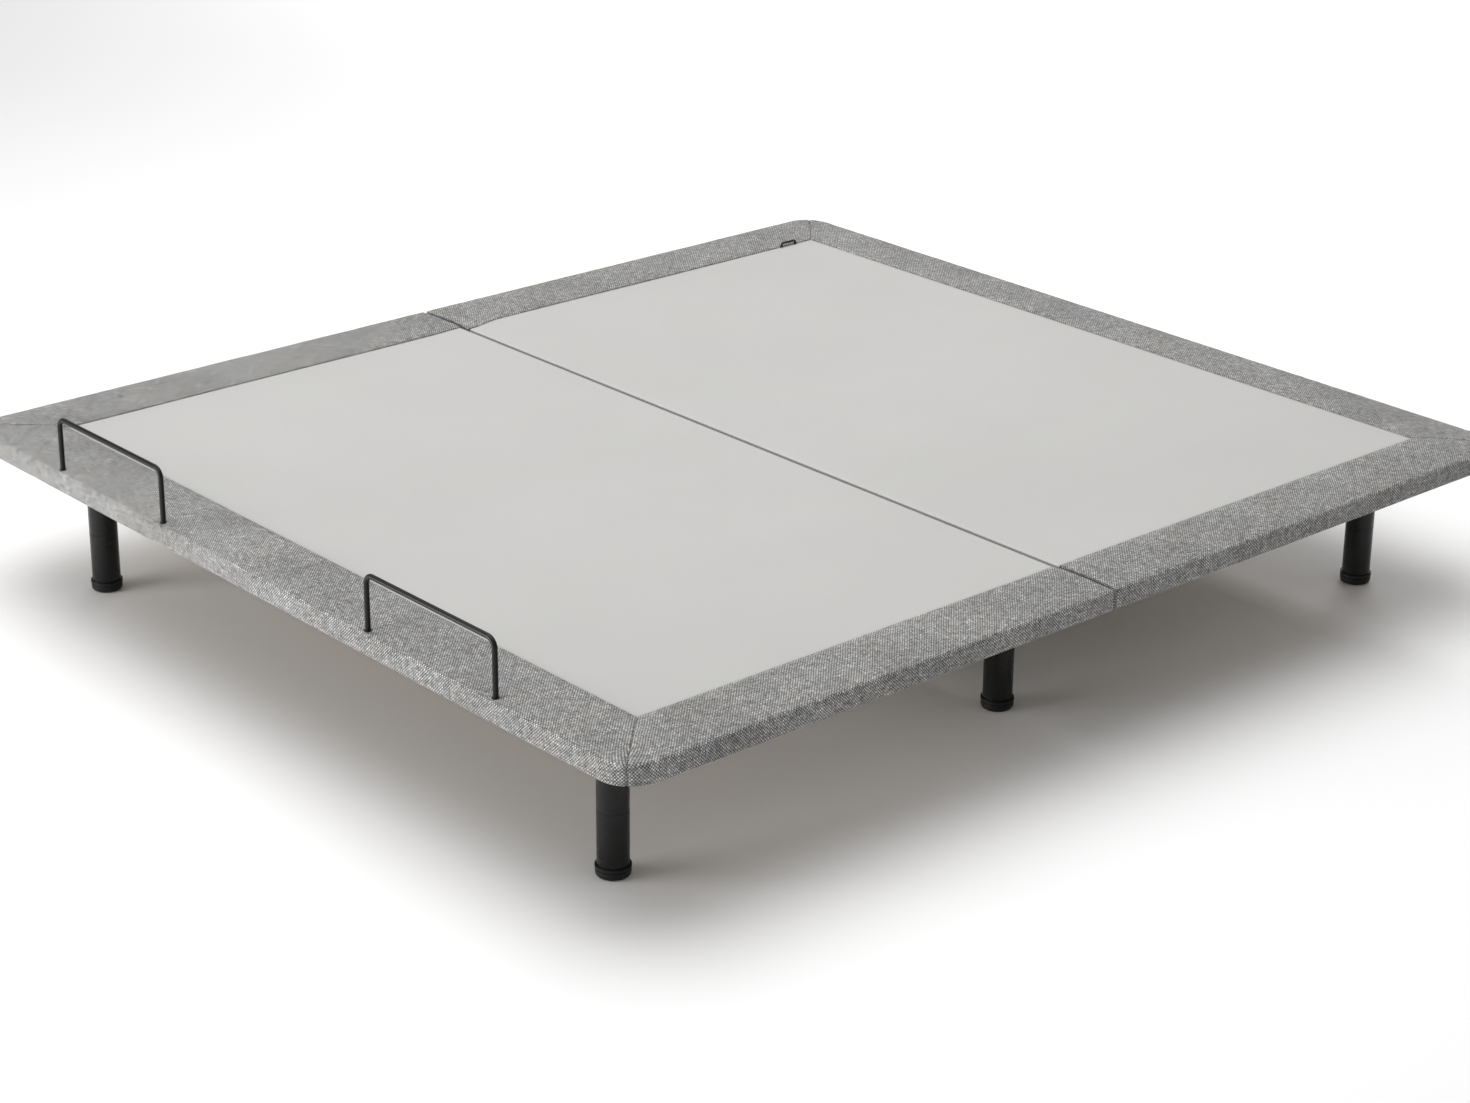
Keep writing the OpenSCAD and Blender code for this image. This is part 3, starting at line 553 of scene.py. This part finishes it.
PLAIN = section(RETURN_W, BORDER)
ROWS = len(PLAIN)
ROW_DISTANCE = np.concatenate([[0], np.cumsum(np.hypot(*np.diff(PLAIN, axis=0).T))])
FIRST_EDGE = SEAM_ROWS + ROWS_TOP
FIRST_SIDE = FIRST_EDGE + ROWS_EDGE
FIRST_HEM = FIRST_SIDE + ROWS_SIDE
FIRST_UNDER = FIRST_HEM + ROWS_HEM


def inward(rows):
    """Unit normals of a section, into the panel."""
    slope = np.gradient(rows, axis=0)
    normal = np.stack([-slope[:, 1], slope[:, 0]], -1)
    normal /= np.linalg.norm(normal, axis=1)[:, None]
    return normal


class Folds:
    """Tension folds along a border: where they are, how strong and how wide."""

    def __init__(self, seed, length):
        rng = random.Random(seed)
        folds, at = [], rng.uniform(0.01, 0.04)
        while at < length:
            folds.append((at, rng.uniform(0.2, 0.9) * MM, rng.uniform(4, 9) * MM))
            at += rng.uniform(22, 60) * MM
        self.seed = seed
        self.places, self.heights, self.widths = np.array(folds).T

    def height(self, path):
        return float(np.sum(self.heights * np.exp(-((path - self.places) / self.widths) ** 2)))

    def rise(self, path, row, to_mitre):
        """Outward shift of the fabric at a distance along the border and a row of the section."""
        v = float(ROW_DISTANCE[row])
        wave = noise.noise(Vector((path * 11.0, v * 16.0, self.seed)))
        small = noise.noise(Vector((path * 48.0, v * 14.0, self.seed + 5.0)))
        if row < SEAM_ROWS or row >= FIRST_UNDER:
            return 0.0
        if row < FIRST_EDGE:
            off_seam = (row - SEAM_ROWS + 1) / ROWS_TOP
            rise = TOP_WAVE * wave * math.sin(math.pi * min(1.0, off_seam + 0.15))
            rise += TOP_RIPPLE * small * math.exp(-off_seam / 0.2)
        else:
            down = min(1.0, (row - FIRST_EDGE) / (ROWS_EDGE + ROWS_SIDE))
            fold = self.height(path) * math.sin(math.pi * down) * FOLD_SHARE
            rise = SIDE_WAVE * wave + fold + SIDE_RIPPLE * small
            if row >= FIRST_HEM:
                rise *= 1 - (row - FIRST_HEM + 1) / (ROWS_HEM + 1)
        pinch = PINCH * math.exp(-(to_mitre / PINCH_W) ** 2)
        near = PUCKER * math.exp(-to_mitre / PUCKER_W)
        ripple = noise.noise(Vector((v * 130.0, to_mitre * 30.0, self.seed + 9.0)))
        return rise - pinch + near * ripple


def crease(x, inset):
    """Depth of the crease that runs over the foot border from the left retainer's inner post."""
    if not CREASE_START < inset < BORDER - 4 * MM:
        return 0.0
    across = x - CREASE_X - CREASE_DRIFT * smooth((inset - 60 * MM) / (60 * MM))
    groove = CREASE_DEPTH * math.exp(-(across / CREASE_W) ** 2)
    ridge = RIDGE_HEIGHT * math.exp(-((across - RIDGE_OFF) / RIDGE_W) ** 2)
    return (groove - ridge) * smooth((inset - CREASE_START) / (12 * MM))


def columns_along(length, capped):
    """Columns of half a strip: ("cap", turn), ("at", distance) or ("turn", share of the corner zone)."""
    start = SPLIT_BACK + SPLIT_R if capped else 0.0
    columns = [("cap", math.pi / 2 * (1 - k / CAP_STEPS)) for k in range(CAP_STEPS)] if capped else []
    plain_end = length - CORNER_ZONE
    count = round((plain_end - start) / COLUMN)
    columns += [("at", start + (plain_end - start) * k / count) for k in range(count)]
    zone = CORNER_ZONE - CORNER_R * (1 - math.pi / 4)
    even = zone - MITRE_MARKS[0] * MM
    count = round(even / COLUMN)
    marks = [even * k / count for k in range(count)] + [zone - mark * MM for mark in MITRE_MARKS]
    columns += [("turn", mark / zone) for mark in marks]
    return columns, zone


def strip(panel, kind, side, folds):
    """Half a border strip as a grid of (vertex, uv) columns: along a side, or along half the outer end."""
    capped = kind == "side"
    length = panel.length if capped else HALF_W
    columns, zone = columns_along(length, capped)
    plain_end = length - CORNER_ZONE
    side_path = panel.length - CORNER_ZONE + zone
    end_path = HALF_W - CORNER_ZONE + zone
    place = panel.at_side if capped else panel.at_end
    grid = []
    for what, value in columns:
        a_nominal = {"cap": SPLIT_BACK + SPLIT_R, "at": value, "turn": plain_end + value * zone}[what]
        to_mitre = (1 - value) * zone if what == "turn" else 1.0
        path = a_nominal if capped else side_path + end_path - a_nominal
        path = path if side > 0 else 2 * (side_path + end_path) - path
        border_w = panel.border_at(side, a_nominal) if capped else BORDER
        near_split = 1 - smooth((a_nominal - 30 * MM) / (25 * MM)) if capped else 0.0
        rows = section(RETURN_W + (border_w - RETURN_W) * near_split, border_w)
        normal = inward(rows)
        rise = np.array([folds.rise(path, row, to_mitre) for row in range(ROWS)])
        fade = smooth((a_nominal - SPLIT_BACK - SPLIT_R) / FADE_IN) if capped else 1.0
        if not capped and panel.sign < 0:
            for row in range(SEAM_ROWS, FIRST_EDGE):
                rise[row] -= crease(side * a_nominal, rows[row][0])
        rows = rows - normal * (rise * fade)[:, None]
        column = []
        for row, (inset, z) in enumerate(rows):
            a, u = a_nominal, a_nominal
            if what == "cap":
                inset += normal[row][0] * SPLIT_R * (1 - math.cos(value))
                z += normal[row][1] * SPLIT_R * (1 - math.cos(value))
                a = SPLIT_BACK + SPLIT_R * (1 - math.sin(value))
                u = SPLIT_BACK + SPLIT_R * (1 - value)
            elif what == "turn":
                straight = CORNER_ZONE - max(CORNER_R, inset)
                radius = max(0.0, CORNER_R - inset)
                s = value * (straight + radius * math.pi / 4)
                u = plain_end + s
                if s <= straight or radius == 0:
                    a = plain_end + s
                else:
                    turn = (s - straight) / radius
                    a = plain_end + straight + radius * math.sin(turn)
                    inset = CORNER_R - radius * math.cos(turn)
            u = panel.split + panel.sign * u if capped else side * u
            column.append((place(side, a, inset, z), (u, float(ROW_DISTANCE[row]))))
        grid.append(column)
    return grid


def grid_faces(grid, vertices, faces, uvs):
    """Adds a grid of (vertex, uv) columns."""
    base, rows = len(vertices), len(grid[0])
    vertices += [v for column in grid for v, _ in column]
    for c in range(len(grid) - 1):
        for r in range(rows - 1):
            corners = ((c, r), (c + 1, r), (c + 1, r + 1), (c, r + 1))
            faces.append(tuple(base + i * rows + j for i, j in corners))
            uvs += [grid[i][j][1] for i, j in corners]


def cap_faces(column, vertices, faces, uvs):
    """Closes a side strip's end at the split: its top rows are joined to its bottom rows."""
    base, last = len(vertices), len(column) - 1
    vertices += [v for v, _ in column]

    def uv(i):
        v, (u, across) = column[i]
        return (u - (TOP - v[2]) if i > last // 2 else u, column[min(i, last - i)][1][1])

    for i in range(last // 2):
        j = last - i
        ring = (i, i + 1, j - 1, j) if i + 1 < j - 1 else (i, i + 1, j)
        faces.append(tuple(base + k for k in ring))
        uvs += [uv(k) for k in ring]


def build_border(panel):
    """The border cover of a panel: two side strips and the outer strip, mitred at the corners."""
    vertices, faces, uvs = [], [], []
    folds = Folds(panel.seed, 2 * (panel.length + HALF_W))
    for side in (-1, 1):
        for kind in ("side", "end"):
            grid = strip(panel, kind, side, folds)
            grid_faces(grid, vertices, faces, uvs)
            if kind == "side":
                cap_faces(grid[0], vertices, faces, uvs)
    border = add_object(panel.name + "_border", vertices, faces, MATERIALS["border_fabric"], uvs)
    finish_mesh(border)
    return border


def pin_weights(obj, panel):
    """1 where the fabric is sewn or stapled, 0 where it is free."""
    weights = []
    for v in obj.data.vertices:
        x, y, z = v.co
        a = (y - panel.split) * panel.sign
        off_side, off_end = HALF_W - abs(x), panel.length - a
        seam = off_side > BORDER - SEAM_HOLD and off_end > panel.end_border - SEAM_HOLD
        held = z < BOTTOM + HEM_R * 0.5 or a < SPLIT_HOLD or seam
        weights.append(1.0 if held else 0.0)
    return weights


def simulate_cover(obj, weights):
    """Lets the padding press the cover out, and keeps the result within MOVE_CAP of where it was."""
    start = np.array([v.co for v in obj.data.vertices])
    group = obj.vertex_groups.new(name="held")
    for i, weight in enumerate(weights):
        group.add([i], weight, "REPLACE")
    cloth = obj.modifiers.new("cloth", "CLOTH")
    settings = cloth.settings
    settings.quality = 5
    settings.mass = 0.3
    settings.tension_stiffness = 25
    settings.compression_stiffness = 25
    settings.shear_stiffness = 10
    settings.bending_stiffness = 0.6
    settings.air_damping = 4
    settings.vertex_group_mass = "held"
    settings.use_pressure = True
    settings.uniform_pressure_force = PRESSURE
    settings.shrink_min = -GROWTH
    settings.effector_weights.gravity = 0
    cloth.collision_settings.use_collision = False
    scene = bpy.context.scene
    for number in range(1, SIM_FRAMES + 1):
        scene.frame_set(number)
    graph = bpy.context.evaluated_depsgraph_get()
    shown = obj.evaluated_get(graph).data
    moved = np.array([v.co for v in shown.vertices])
    obj.modifiers.clear()
    obj.vertex_groups.clear()
    scene.frame_set(1)
    shift = moved - start
    size = np.linalg.norm(shift, axis=1)
    shift *= (MOVE_CAP * np.tanh(size / MOVE_CAP) / np.maximum(size, 1e-9))[:, None]
    normals = np.array([v.normal for v in obj.data.vertices])
    outward = np.sum(shift * normals, axis=1)
    shift -= normals * np.minimum(outward, 0)[:, None] * SINK_CANCEL
    obj.data.vertices.foreach_set("co", (start + shift).astype(np.float32).ravel())
    obj.data.update()


def thicken(obj, thickness):
    solid = obj.modifiers.new("thickness", "SOLIDIFY")
    solid.thickness = thickness
    solid.offset = -1
    solid.use_even_offset = False
    apply_modifiers(obj)
    obj.data.shade_smooth()


# ================================================================ centre cloth
def sway(panel, x, a):
    """Slow waves of the stretched cloth, and of the foam it lies on."""
    slow = noise.noise(Vector((x * 3.1, a * 3.1, panel.seed)))
    quick = noise.noise(Vector((x * 9.0, a * 9.0, panel.seed + 3.0)))
    return CLOTH_SWAY * (slow + 0.35 * quick)


def build_cloth(panel):
    """The stretched centre cloth, turned down and folded under at the split."""
    top = TOP - CLOTH_DROP
    bottom = BOTTOM + 0.4 * MM
    face = SPLIT_BACK + CLOTH_BACK
    end_a = panel.length - panel.end_border + TUCK
    count = round(end_a / CLOTH_STEP)
    path = [(end_a + (face + SPLIT_R - end_a) * k / count, top) for k in range(count + 1)]
    for k in range(1, ARC_STEPS + 1):
        turn = math.pi / 2 * k / ARC_STEPS
        path.append((face + SPLIT_R * (1 - math.sin(turn)), top - SPLIT_R * (1 - math.cos(turn))))
    drop = (bottom + SPLIT_R) - (top - SPLIT_R)
    for k in range(1, ARC_STEPS + 1):
        share = k / ARC_STEPS
        path.append((face - CLOTH_BACK * math.sin(math.pi * share), top - SPLIT_R + drop * share))
    for k in range(1, ARC_STEPS + 1):
        turn = math.pi / 2 * k / ARC_STEPS
        path.append((face + SPLIT_R * (1 - math.cos(turn)), bottom + SPLIT_R * (1 - math.sin(turn))))
    returns = 6
    for k in range(1, returns + 1):
        path.append((face + SPLIT_R + (RETURN_W - SPLIT_R) * k / returns, bottom))
    columns = round(2 * (HALF_W - BORDER) / CLOTH_STEP)
    grid = []
    travelled = np.concatenate([[0], np.cumsum(np.hypot(*np.diff(np.array(path), axis=0).T))])
    for c in range(columns + 1):
        share = 2 * c / columns - 1
        column = []
        for (a, z), s in zip(path, travelled):
            left = HALF_W - panel.border_at(-1, a) + TUCK
            right = HALF_W - panel.border_at(1, a) + TUCK
            x = share * (right if share > 0 else left)
            lift = sway(panel, x, a) if z > top - MM else 0.0
            column.append(((x, panel.split + panel.sign * a, z + lift), (x, s)))
        grid.append(column)
    vertices, faces, uvs = [], [], []
    grid_faces(grid, vertices, faces, uvs)
    cloth = add_object(panel.name + "_cloth", vertices, faces, MATERIALS["centre_cloth"], uvs)
    finish_mesh(cloth)
    thicken(cloth, CLOTH_T)
    width = 2 * (HALF_W - BORDER + TUCK)
    return cloth, (width, float(travelled[-1]))


# ================================================================ foam pad
def outline(panel, inset, corner_steps=8):
    """Points round a panel at an inset from its outer faces, split corners kept square."""
    radius = CORNER_R - inset
    half, far = HALF_W - inset, panel.length - inset
    points = [(-half, inset), (half, inset)]
    for k in range(corner_steps + 1):
        turn = math.pi / 2 * k / corner_steps
        points.append((half - radius * (1 - math.cos(turn)), far - radius * (1 - math.sin(turn))))
    for k in range(corner_steps + 1):
        turn = math.pi / 2 * (1 - k / corner_steps)
        points.append((-half + radius * (1 - math.cos(turn)), far - radius * (1 - math.sin(turn))))
    return points


def build_pad(panel):
    """The foam layer under the covers, with rounded edges; the centre cloth lies on it."""
    base = BOARD_HI.z + 0.2 * MM
    top = TOP - CLOTH_DROP - CLOTH_T - PAD_GAP
    side, width = 2.4 * MM, EDGE_R - 1.6 * MM
    height = 0.78 * width
    rings = [(side + 0.2 * MM, base), (side, base + 0.6 * MM)]
    for k in range(1, ARC_STEPS + 1):
        turn = math.pi / 2 * k / ARC_STEPS
        rings.append((side + width * (1 - math.cos(turn)), top - height * (1 - math.sin(turn))))
    rings += [(40 * MM, top), (66 * MM, top)]
    vertices, faces = [], []
    count = len(outline(panel, 0.0))
    for inset, z in rings:
        vertices += [(x, panel.split + panel.sign * a, z) for x, a in outline(panel, inset)]
    for ring in range(len(rings) - 1):
        for k in range(count):
            a, b = ring * count + k, ring * count + (k + 1) % count
            faces.append((a, b, b + count, a + count))
    inner = len(vertices)
    half, far, near = HALF_W - BORDER, panel.length - panel.end_border, 68 * MM
    step = 24
    for j in range(step + 1):
        for i in range(step + 1):
            x, a = -half + 2 * half * i / step, near + (far - near) * j / step
            vertices.append((x, panel.split + panel.sign * a, top + PAD_RISE + sway(panel, x, a)))
    for j in range(step):
        for i in range(step):
            a = inner + j * (step + 1) + i
            faces.append((a, a + 1, a + step + 2, a + step + 1))
    rim = [inner + i for i in range(step + 1)]
    rim += [inner + j * (step + 1) + step for j in range(1, step + 1)]
    rim += [inner + step * (step + 1) + i for i in range(step - 1, -1, -1)]
    rim += [inner + j * (step + 1) for j in range(step - 1, 0, -1)]
    last = (len(rings) - 1) * count
    pad = add_object(panel.name + "_pad", vertices, faces, MATERIALS["foam"])
    bm = bmesh.new()
    bm.from_mesh(pad.data)
    bm.verts.ensure_lookup_table()
    outer = [bm.verts[last + k] for k in range(count)]
    rim_verts = [bm.verts[k] for k in rim]
    edges = [bm.edges.get((outer[k], outer[(k + 1) % count])) for k in range(count)]
    edges += [bm.edges.get(pair) for pair in zip(rim_verts, rim_verts[1:] + rim_verts[:1])]
    bmesh.ops.bridge_loops(bm, edges=edges)
    bm.faces.new([bm.verts[k] for k in range(count)])
    bmesh.ops.recalc_face_normals(bm, faces=bm.faces)
    bm.to_mesh(pad.data)
    bm.free()
    pad.data.shade_smooth()
    return pad


# ================================================================ small sewn and stapled details
THREAD_R = 0.42 * MM
FIRST_STITCH = 1.5 * MM
STAPLE_SPACING = 42 * MM
HALF_CROWN, STAPLE_LEG, STAPLE_R = 5 * MM, 1.6 * MM, 0.5 * MM
STAPLE_BEND = 0.35 * MM
HEM_TO_STAPLE = 12 * MM
FIRST_STAPLE = 45 * MM      # distance of the first side staple from the split
LAST_STAPLE = 60 * MM       # the side row stops this far before the end row
END_CLEAR = 30 * MM         # the end row stops this far before the side rows


def mitre_path(panel, side, count=90):
    """Points down a mitre seam, from the inner corner over the edge to the hem."""
    points = []
    rows = PLAIN[SEAM_ROWS - 1:FIRST_UNDER]
    travelled = np.concatenate([[0], np.cumsum(np.hypot(*np.diff(rows, axis=0).T))])
    for k in range(count + 1):
        s = travelled[-1] * k / count
        inset = float(np.interp(s, travelled, rows[:, 0]))
        z = float(np.interp(s, travelled, rows[:, 1]))
        shift = inset if inset > CORNER_R else CORNER_R - (CORNER_R - inset) * math.sqrt(0.5)
        points.append(Vector((side * (HALF_W - shift), panel.end - panel.sign * panel.squeeze(shift), z)))
    return points


def build_mitre_stitches(panel, border):
    """Short stitches that close each mitre seam, laid on the cover's surface."""
    graph = bpy.context.evaluated_depsgraph_get()
    tree = BVHTree.FromObject(border, graph)
    rng = random.Random(panel.seed + 77)
    parts = []
    for side in (-1, 1):
        path = mitre_path(panel, side)
        surface = []
        for point in path:
            hit = tree.find_nearest(point)
            surface.append(hit[0] + hit[1] * 0.15 * MM)
        dash, gap = 4.2 * MM, 1.3 * MM
        lengths = [0.0]
        for a, b in zip(surface, surface[1:]):
            lengths.append(lengths[-1] + (b - a).length)

        def at(s):
            k = int(np.searchsorted(lengths, s)) - 1
            k = min(max(k, 0), len(surface) - 2)
            span = max(lengths[k + 1] - lengths[k], 1e-9)
            return surface[k].lerp(surface[k + 1], (s - lengths[k]) / span)

        s = FIRST_STITCH
        while s + dash < lengths[-1]:
            sideways = Vector((side, -panel.sign, 0)).normalized() * rng.uniform(-0.35, 0.35) * MM
            arc = [at(s + dash * t) + sideways for t in (0, 0.15, 0.5, 0.85, 1)]
            centre = (arc[0] + arc[-1]) / 2
            for end in (0, -1):
                arc[end] = arc[end].lerp(centre, 0.05) - Vector((0, 0, 0.3 * MM))
            parts.append(tube(arc, THREAD_R))
            s += dash + gap
    vertices, faces = join_parts(parts)
    made = add_object(panel.name + "_mitre_stitches", vertices, faces, THREAD_AND_SEAM_SHADE)
    made.data.shade_smooth()
    return made


def build_staples(panel):
    """Staples through the folded return, a short way in from its hem."""
    rng = random.Random(panel.seed + 300)
    parts = []
    line = RETURN_W - HEM_TO_STAPLE
    z = BOTTOM - 0.45 * MM

    def staple(x, y, along_x):
        tilt = rng.uniform(-0.25, 0.25) + (0.0 if along_x else math.pi / 2)
        turn = Matrix.Rotation(tilt, 3, "Z")
        half = [(HALF_CROWN * 0.9, 0), (HALF_CROWN, STAPLE_BEND), (HALF_CROWN, STAPLE_LEG)]
        shape = [(-w, 0, h) for w, h in reversed(half)] + [(w, 0, h) for w, h in half]
        parts.append(tube([Vector((x, y, z)) + turn @ Vector(p) for p in shape], STAPLE_R, 5))

    far = panel.length - line
    for k in range(int((far - LAST_STAPLE) / STAPLE_SPACING)):
        a = FIRST_STAPLE + k * STAPLE_SPACING
        for side in (-1, 1):
            staple(side * (HALF_W - line), panel.split + panel.sign * a, False)
    width = HALF_W - line - END_CLEAR
    for k in range(int(2 * width / STAPLE_SPACING) + 1):
        x = -width + k * STAPLE_SPACING
        staple(x, panel.end - panel.sign * line, True)
        if abs(x) < HALF_W - BORDER:
            staple(x, panel.split + panel.sign * line, True)
    vertices, faces = join_parts(parts)
    made = add_object(panel.name + "_staples", vertices, faces, MATERIALS["plated_steel"])
    made.data.shade_smooth()
    return made


def upholster(panel):
    """Builds every soft and sewn piece of one panel and lets them ride on its body."""
    border = build_border(panel)
    simulate_cover(border, pin_weights(border, panel))
    stitches = build_mitre_stitches(panel, border)
    thicken(border, FABRIC_T)
    cloth, flat = build_cloth(panel)
    pad = build_pad(panel)
    staples = build_staples(panel)

    for piece, slot in ((border, "border_fabric"), (stitches, "border_fabric"), (cloth, "centre_cloth"),
                        (pad, "foam"), (staples, "plated_steel")):
        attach(piece, panel.body)
    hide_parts(panel.name + "_border_cover")
    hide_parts(panel.name + "_centre_cloth")
    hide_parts(panel.name + "_foam")


# ================================================================ stage
FLOOR_HALF = 30
WORLD_STRENGTH = 0.38
SOFT_BOXES = (
    # name, place, aim, size in metres, watts
    ("overhead", (-0.3, -0.4, 4.1), (0, 0, 0.3), (4.6, 4.6), 181),
    ("foot_left", (-2.0, -5.6, 0.75), (0.1, -1.0, 0.3), (3.6, 1.3), 290),
    ("backdrop", (-4.5, 6.6, 4.5), (-4.5, 8.6, 0), (7.0, 4.0), 760),
)


def build_stage():
    corners = [(x * FLOOR_HALF, y * FLOOR_HALF, 0) for x, y in ((-1, -1), (1, -1), (1, 1), (-1, 1))]
    floor = add_object("studio_floor", corners, [(0, 1, 2, 3)], floor_paint())

    world = bpy.data.worlds.new("studio")
    bpy.context.scene.world = world
    world.use_nodes = True
    back = world.node_tree.nodes["Background"]
    back.inputs["Color"].default_value = grey(1.0)
    back.inputs["Strength"].default_value = WORLD_STRENGTH
    for name, place, aim, size, power in SOFT_BOXES:
        light = bpy.data.lights.new(name, "AREA")
        light.shape = "RECTANGLE"
        light.size, light.size_y = size
        light.energy = power
        made = bpy.data.objects.new(name, light)
        made.location = place
        made.rotation_mode = "QUATERNION"
        made.rotation_quaternion = (Vector(aim) - Vector(place)).to_track_quat("-Z", "Y")
        bpy.context.scene.collection.objects.link(made)


def build_camera():
    data = bpy.data.cameras.new("camera")
    data.lens = LENS
    data.sensor_width = SENSOR
    camera = bpy.data.objects.new("camera", data)
    back = Vector((math.sin(AZIMUTH) * math.cos(ELEVATION), -math.cos(AZIMUTH) * math.cos(ELEVATION),
                   math.sin(ELEVATION)))
    level = Vector((math.cos(AZIMUTH), math.sin(AZIMUTH), 0))
    up = back.cross(level)
    right = level * math.cos(ROLL) + up * math.sin(ROLL)
    up = up * math.cos(ROLL) - level * math.sin(ROLL)
    turn = Matrix((right, up, back)).transposed().to_4x4()
    camera.matrix_world = Matrix.Translation(TARGET + back * DISTANCE) @ turn
    bpy.context.scene.collection.objects.link(camera)
    bpy.context.scene.camera = camera


bpy.context.scene.view_settings.view_transform = "Standard"
build_camera()
build_stage()
paint_cad_nodes()
for each_panel in PANELS:
    upholster(each_panel)
